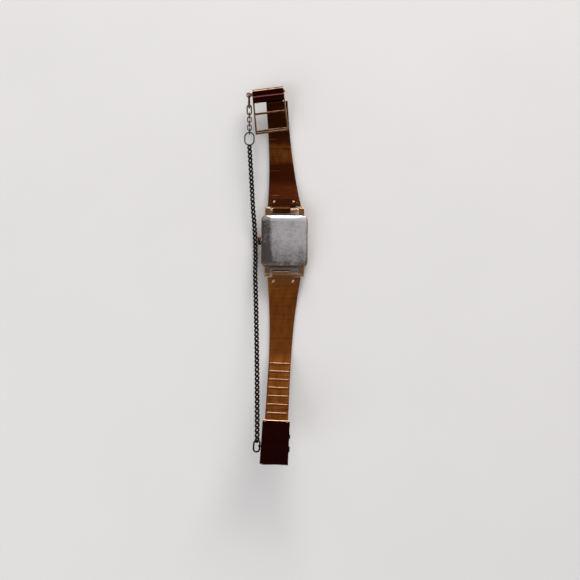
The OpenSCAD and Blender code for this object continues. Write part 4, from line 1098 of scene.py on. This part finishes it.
class WATCH_OT_back(bpy.types.Operator):
    """Makes the case back with its soft dome and its snap rim"""

    bl_idname = "watch.back"
    bl_label = "Case back"

    def execute(self, context):
        bm = bmesh.new()
        rings = [(BACK_W - 2 * side, BACK_L - 2 * end, BACK_Z + rise) for side, end, rise in BACK_RINGS]
        ring_stack(bm, rings, BACK_CORNER)
        piece("back", bm, "watch_steel_back", "watch_head", "case_back", smooth=40.0)
        return {"FINISHED"}


SOFT_NODES = {
    "case_middle": ("case", "watch_gold_case", "watch_head", 0.25),
    "slide_box": ("slide", "watch_mirror_dark_reflection", "slide_clasp", 0.12),
    "slide_lid": ("lid", "watch_mirror_dark_reflection", "clasp_lid", 0.10),
    "strap_end_cap": ("end_cap", "watch_gold_clip", "upper_band", 0.08),
    "crown": ("crown_fluted", "watch_gold_shaded", "winding_stem", 0.05),
}


class WATCH_OT_soft_edges(bpy.types.Operator):
    """Rounds the edges of the case, slide, lid, end cap and crown, and adds the slide's knuckles"""

    bl_idname = "watch.soft_edges"
    bl_label = "Soft edges"

    def execute(self, context):
        for node, (name, finish, body, edge) in SOFT_NODES.items():
            softened(name, node, finish, body, edge)
        place = free_end(LOWER, SLIDE_S)
        # The knuckles get the paler plating as a painted highlight
        bm = bmesh.new()
        for side in (-1, 1):
            x, y = side * (SLIDE_HALF_W - KNUCKLE_IN), -SLIDE_L / 2 + ROLL_R
            at = Matrix.Translation(Vector((x, y, SLIDE_TOP - ROLL_R + KNUCKLE_LIFT)) * MM)
            rod(bm, KNUCKLE_R, -KNUCKLE_HALF_L, KNUCKLE_HALF_L, place @ at, 0.1, 24)
        piece("slide_knuckles", bm, "watch_gold_highlight", "slide_clasp")
        # The slide's own roll gets the same paler plating as its knuckles, as a painted highlight
        slide = bpy.data.objects["slide"].data
        slide.materials.append(finishes()["watch_gold_highlight"])
        into = place.inverted()
        for face in slide.polygons:
            if (into @ face.center).y < (-SLIDE_L / 2 + 2 * ROLL_R) * MM:
                face.material_index = 1
        return {"FINISHED"}


class WATCH_OT_springs(bpy.types.Operator):
    """Cuts the spring of each bar into two halves, each named after the tip on its side"""

    bl_idname = "watch.springs"
    bl_label = "Springs of the bars"

    def execute(self, context):
        for half in ("upper", "lower"):
            node = f"{half}_bar_spring"
            low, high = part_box(node)
            middle = (low + high) / 2
            for side, nodes in ((-1, (node,)), (1, ())):
                name = "left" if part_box(f"{half}_left_tip")[0].x * side > middle.x * side else "right"
                bm = copied(node)
                geom = bm.verts[:] + bm.edges[:] + bm.faces[:]
                bmesh.ops.bisect_plane(
                    bm, geom=geom, plane_co=middle, plane_no=(side, 0, 0), clear_inner=True
                )
                bmesh.ops.holes_fill(bm, edges=[e for e in bm.edges if e.is_boundary], sides=0)
                made = piece(f"{half}_spring_{name}", bm, "watch_steel", "watch_head", *nodes, even=False)
                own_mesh(made)
        return {"FINISHED"}


class WATCH_OT_stage(bpy.types.Operator):
    """Makes the table, the lamps, the world and the camera"""

    bl_idname = "watch.stage"
    bl_label = "Table, lamps and camera"

    def execute(self, context):
        scene = context.scene
        scene.view_settings.view_transform = "Standard"
        bm = bmesh.new()
        bmesh.ops.create_grid(bm, x_segments=8, y_segments=8, size=TABLE_HALF * MM)
        bmesh.ops.translate(bm, verts=bm.verts[:], vec=(0, 0, -TABLE_DROP * MM))
        mesh = bpy.data.meshes.new("table")
        bm.to_mesh(mesh)
        bm.free()
        table = placed("table", mesh)
        f = Finish("watch_table", 0.0)
        pale = scene.watch_colours.floor
        tone = f.noise(f.place(), 0.02, 3)
        f.set(base_color=f.mix(tone, pale, toned(pale, 0.95)), roughness=tone.between(0.7, 0.85))
        mesh.materials.append(f.material)

        def lamp(name, at, size, power, colour):
            light = bpy.data.lights.new(name, "AREA")
            light.shape = "RECTANGLE"
            light.size, light.size_y = size
            light.energy = power
            light.color = colour
            made = placed(name, light)
            made.location = at
            made.rotation_euler = Vector(at).to_track_quat("Z", "Y").to_euler()

        lamp("key", (0.40, 1.60, 0.68), (1.80, 0.56), 36.0, (1.0, 0.98, 0.95))
        lamp("fill", (-0.90, -0.80, 0.84), (1.0, 1.0), 8.6, (0.94, 0.97, 1.0))

        world = bpy.data.worlds.new("studio")
        scene.world = world
        sky = Graph(world)
        x, y, z = sky.along(sky.node("ShaderNodeTexCoord").outputs["Generated"])
        # A window behind the watch, and a narrow one in front of it for the edges that face the photo's foot
        window = (x * 0.25 + y * 0.90 + z * 0.35).rise(0.86, 0.98)
        shade = (x * -1.0).rise(0.15, 0.75)
        ceiling = sky.mix(shade, (0.36, 0.35, 0.35, 1), (0.12, 0.11, 0.10, 1))
        room = sky.mix(z.rise(0.14, 0.45), (0.84, 0.83, 0.82, 1), ceiling)
        strip = 1.0 - abs(y * 0.77 + z * 0.64).rise(0.05, 0.09)
        strip = strip * (y * -1.0).rise(0.1, 0.3) * (1.0 - abs(x).rise(0.4, 0.6))
        colour = sky.mix(window.most(strip), room, (1.0, 0.98, 0.95, 1))
        shown = sky.node("ShaderNodeBackground", {}, {"Color": colour, "Strength": 1.0})
        sky.node("ShaderNodeOutputWorld", {}, {"Surface": shown.outputs[0]})

        lens = bpy.data.cameras.new("photo")
        lens.sensor_width = 36
        lens.lens = FOCAL_LENGTH / PHOTO_SIZE * lens.sensor_width
        lens.clip_start, lens.clip_end = 0.001, 10
        camera = placed("photo", lens)
        camera.matrix_world = (
            Matrix.Translation(Vector(CAMERA_AT) * MM)
            @ Matrix.Rotation(math.radians(CAMERA_TILT), 4, "X")
            @ Matrix.Rotation(math.radians(CAMERA_ROLL), 4, "Z")
        )
        scene.camera = camera
        return {"FINISHED"}


class WATCH_PT_panel(bpy.types.Panel):
    """Lists the watch's steps, sizes and colours"""

    bl_label = "Watch"
    bl_space_type = "VIEW_3D"
    bl_region_type = "UI"
    bl_category = "Watch"

    def draw(self, context):
        column = self.layout.column()
        for step in STEPS:
            column.operator(step)
        for group in (context.scene.watch_sizes, context.scene.watch_colours):
            for name in group.__annotations__:
                column.prop(group, name)


CLASSES = (
    WatchSizes,
    WatchColours,
    WATCH_OT_finish,
    WATCH_OT_band,
    WATCH_OT_chain,
    WATCH_OT_clips,
    WATCH_OT_ladder,
    WATCH_OT_back,
    WATCH_OT_soft_edges,
    WATCH_OT_springs,
    WATCH_OT_stage,
    WATCH_PT_panel,
)
STEPS = (
    "watch.stage",
    "watch.finish",
    "watch.band",
    "watch.chain",
    "watch.clips",
    "watch.ladder",
    "watch.back",
    "watch.soft_edges",
    "watch.springs",
)


def register():
    for made in CLASSES:
        bpy.utils.register_class(made)
    bpy.types.Scene.watch_sizes = PointerProperty(type=WatchSizes)
    bpy.types.Scene.watch_colours = PointerProperty(type=WatchColours)


def unregister():
    del bpy.types.Scene.watch_sizes
    del bpy.types.Scene.watch_colours
    for made in reversed(CLASSES):
        bpy.utils.unregister_class(made)


def main():
    register()
    for step in STEPS:
        group, name = step.split(".")
        getattr(getattr(bpy.ops, group), name)()
    bpy.context.view_layer.update()


if __name__ == "__main__":
    main()
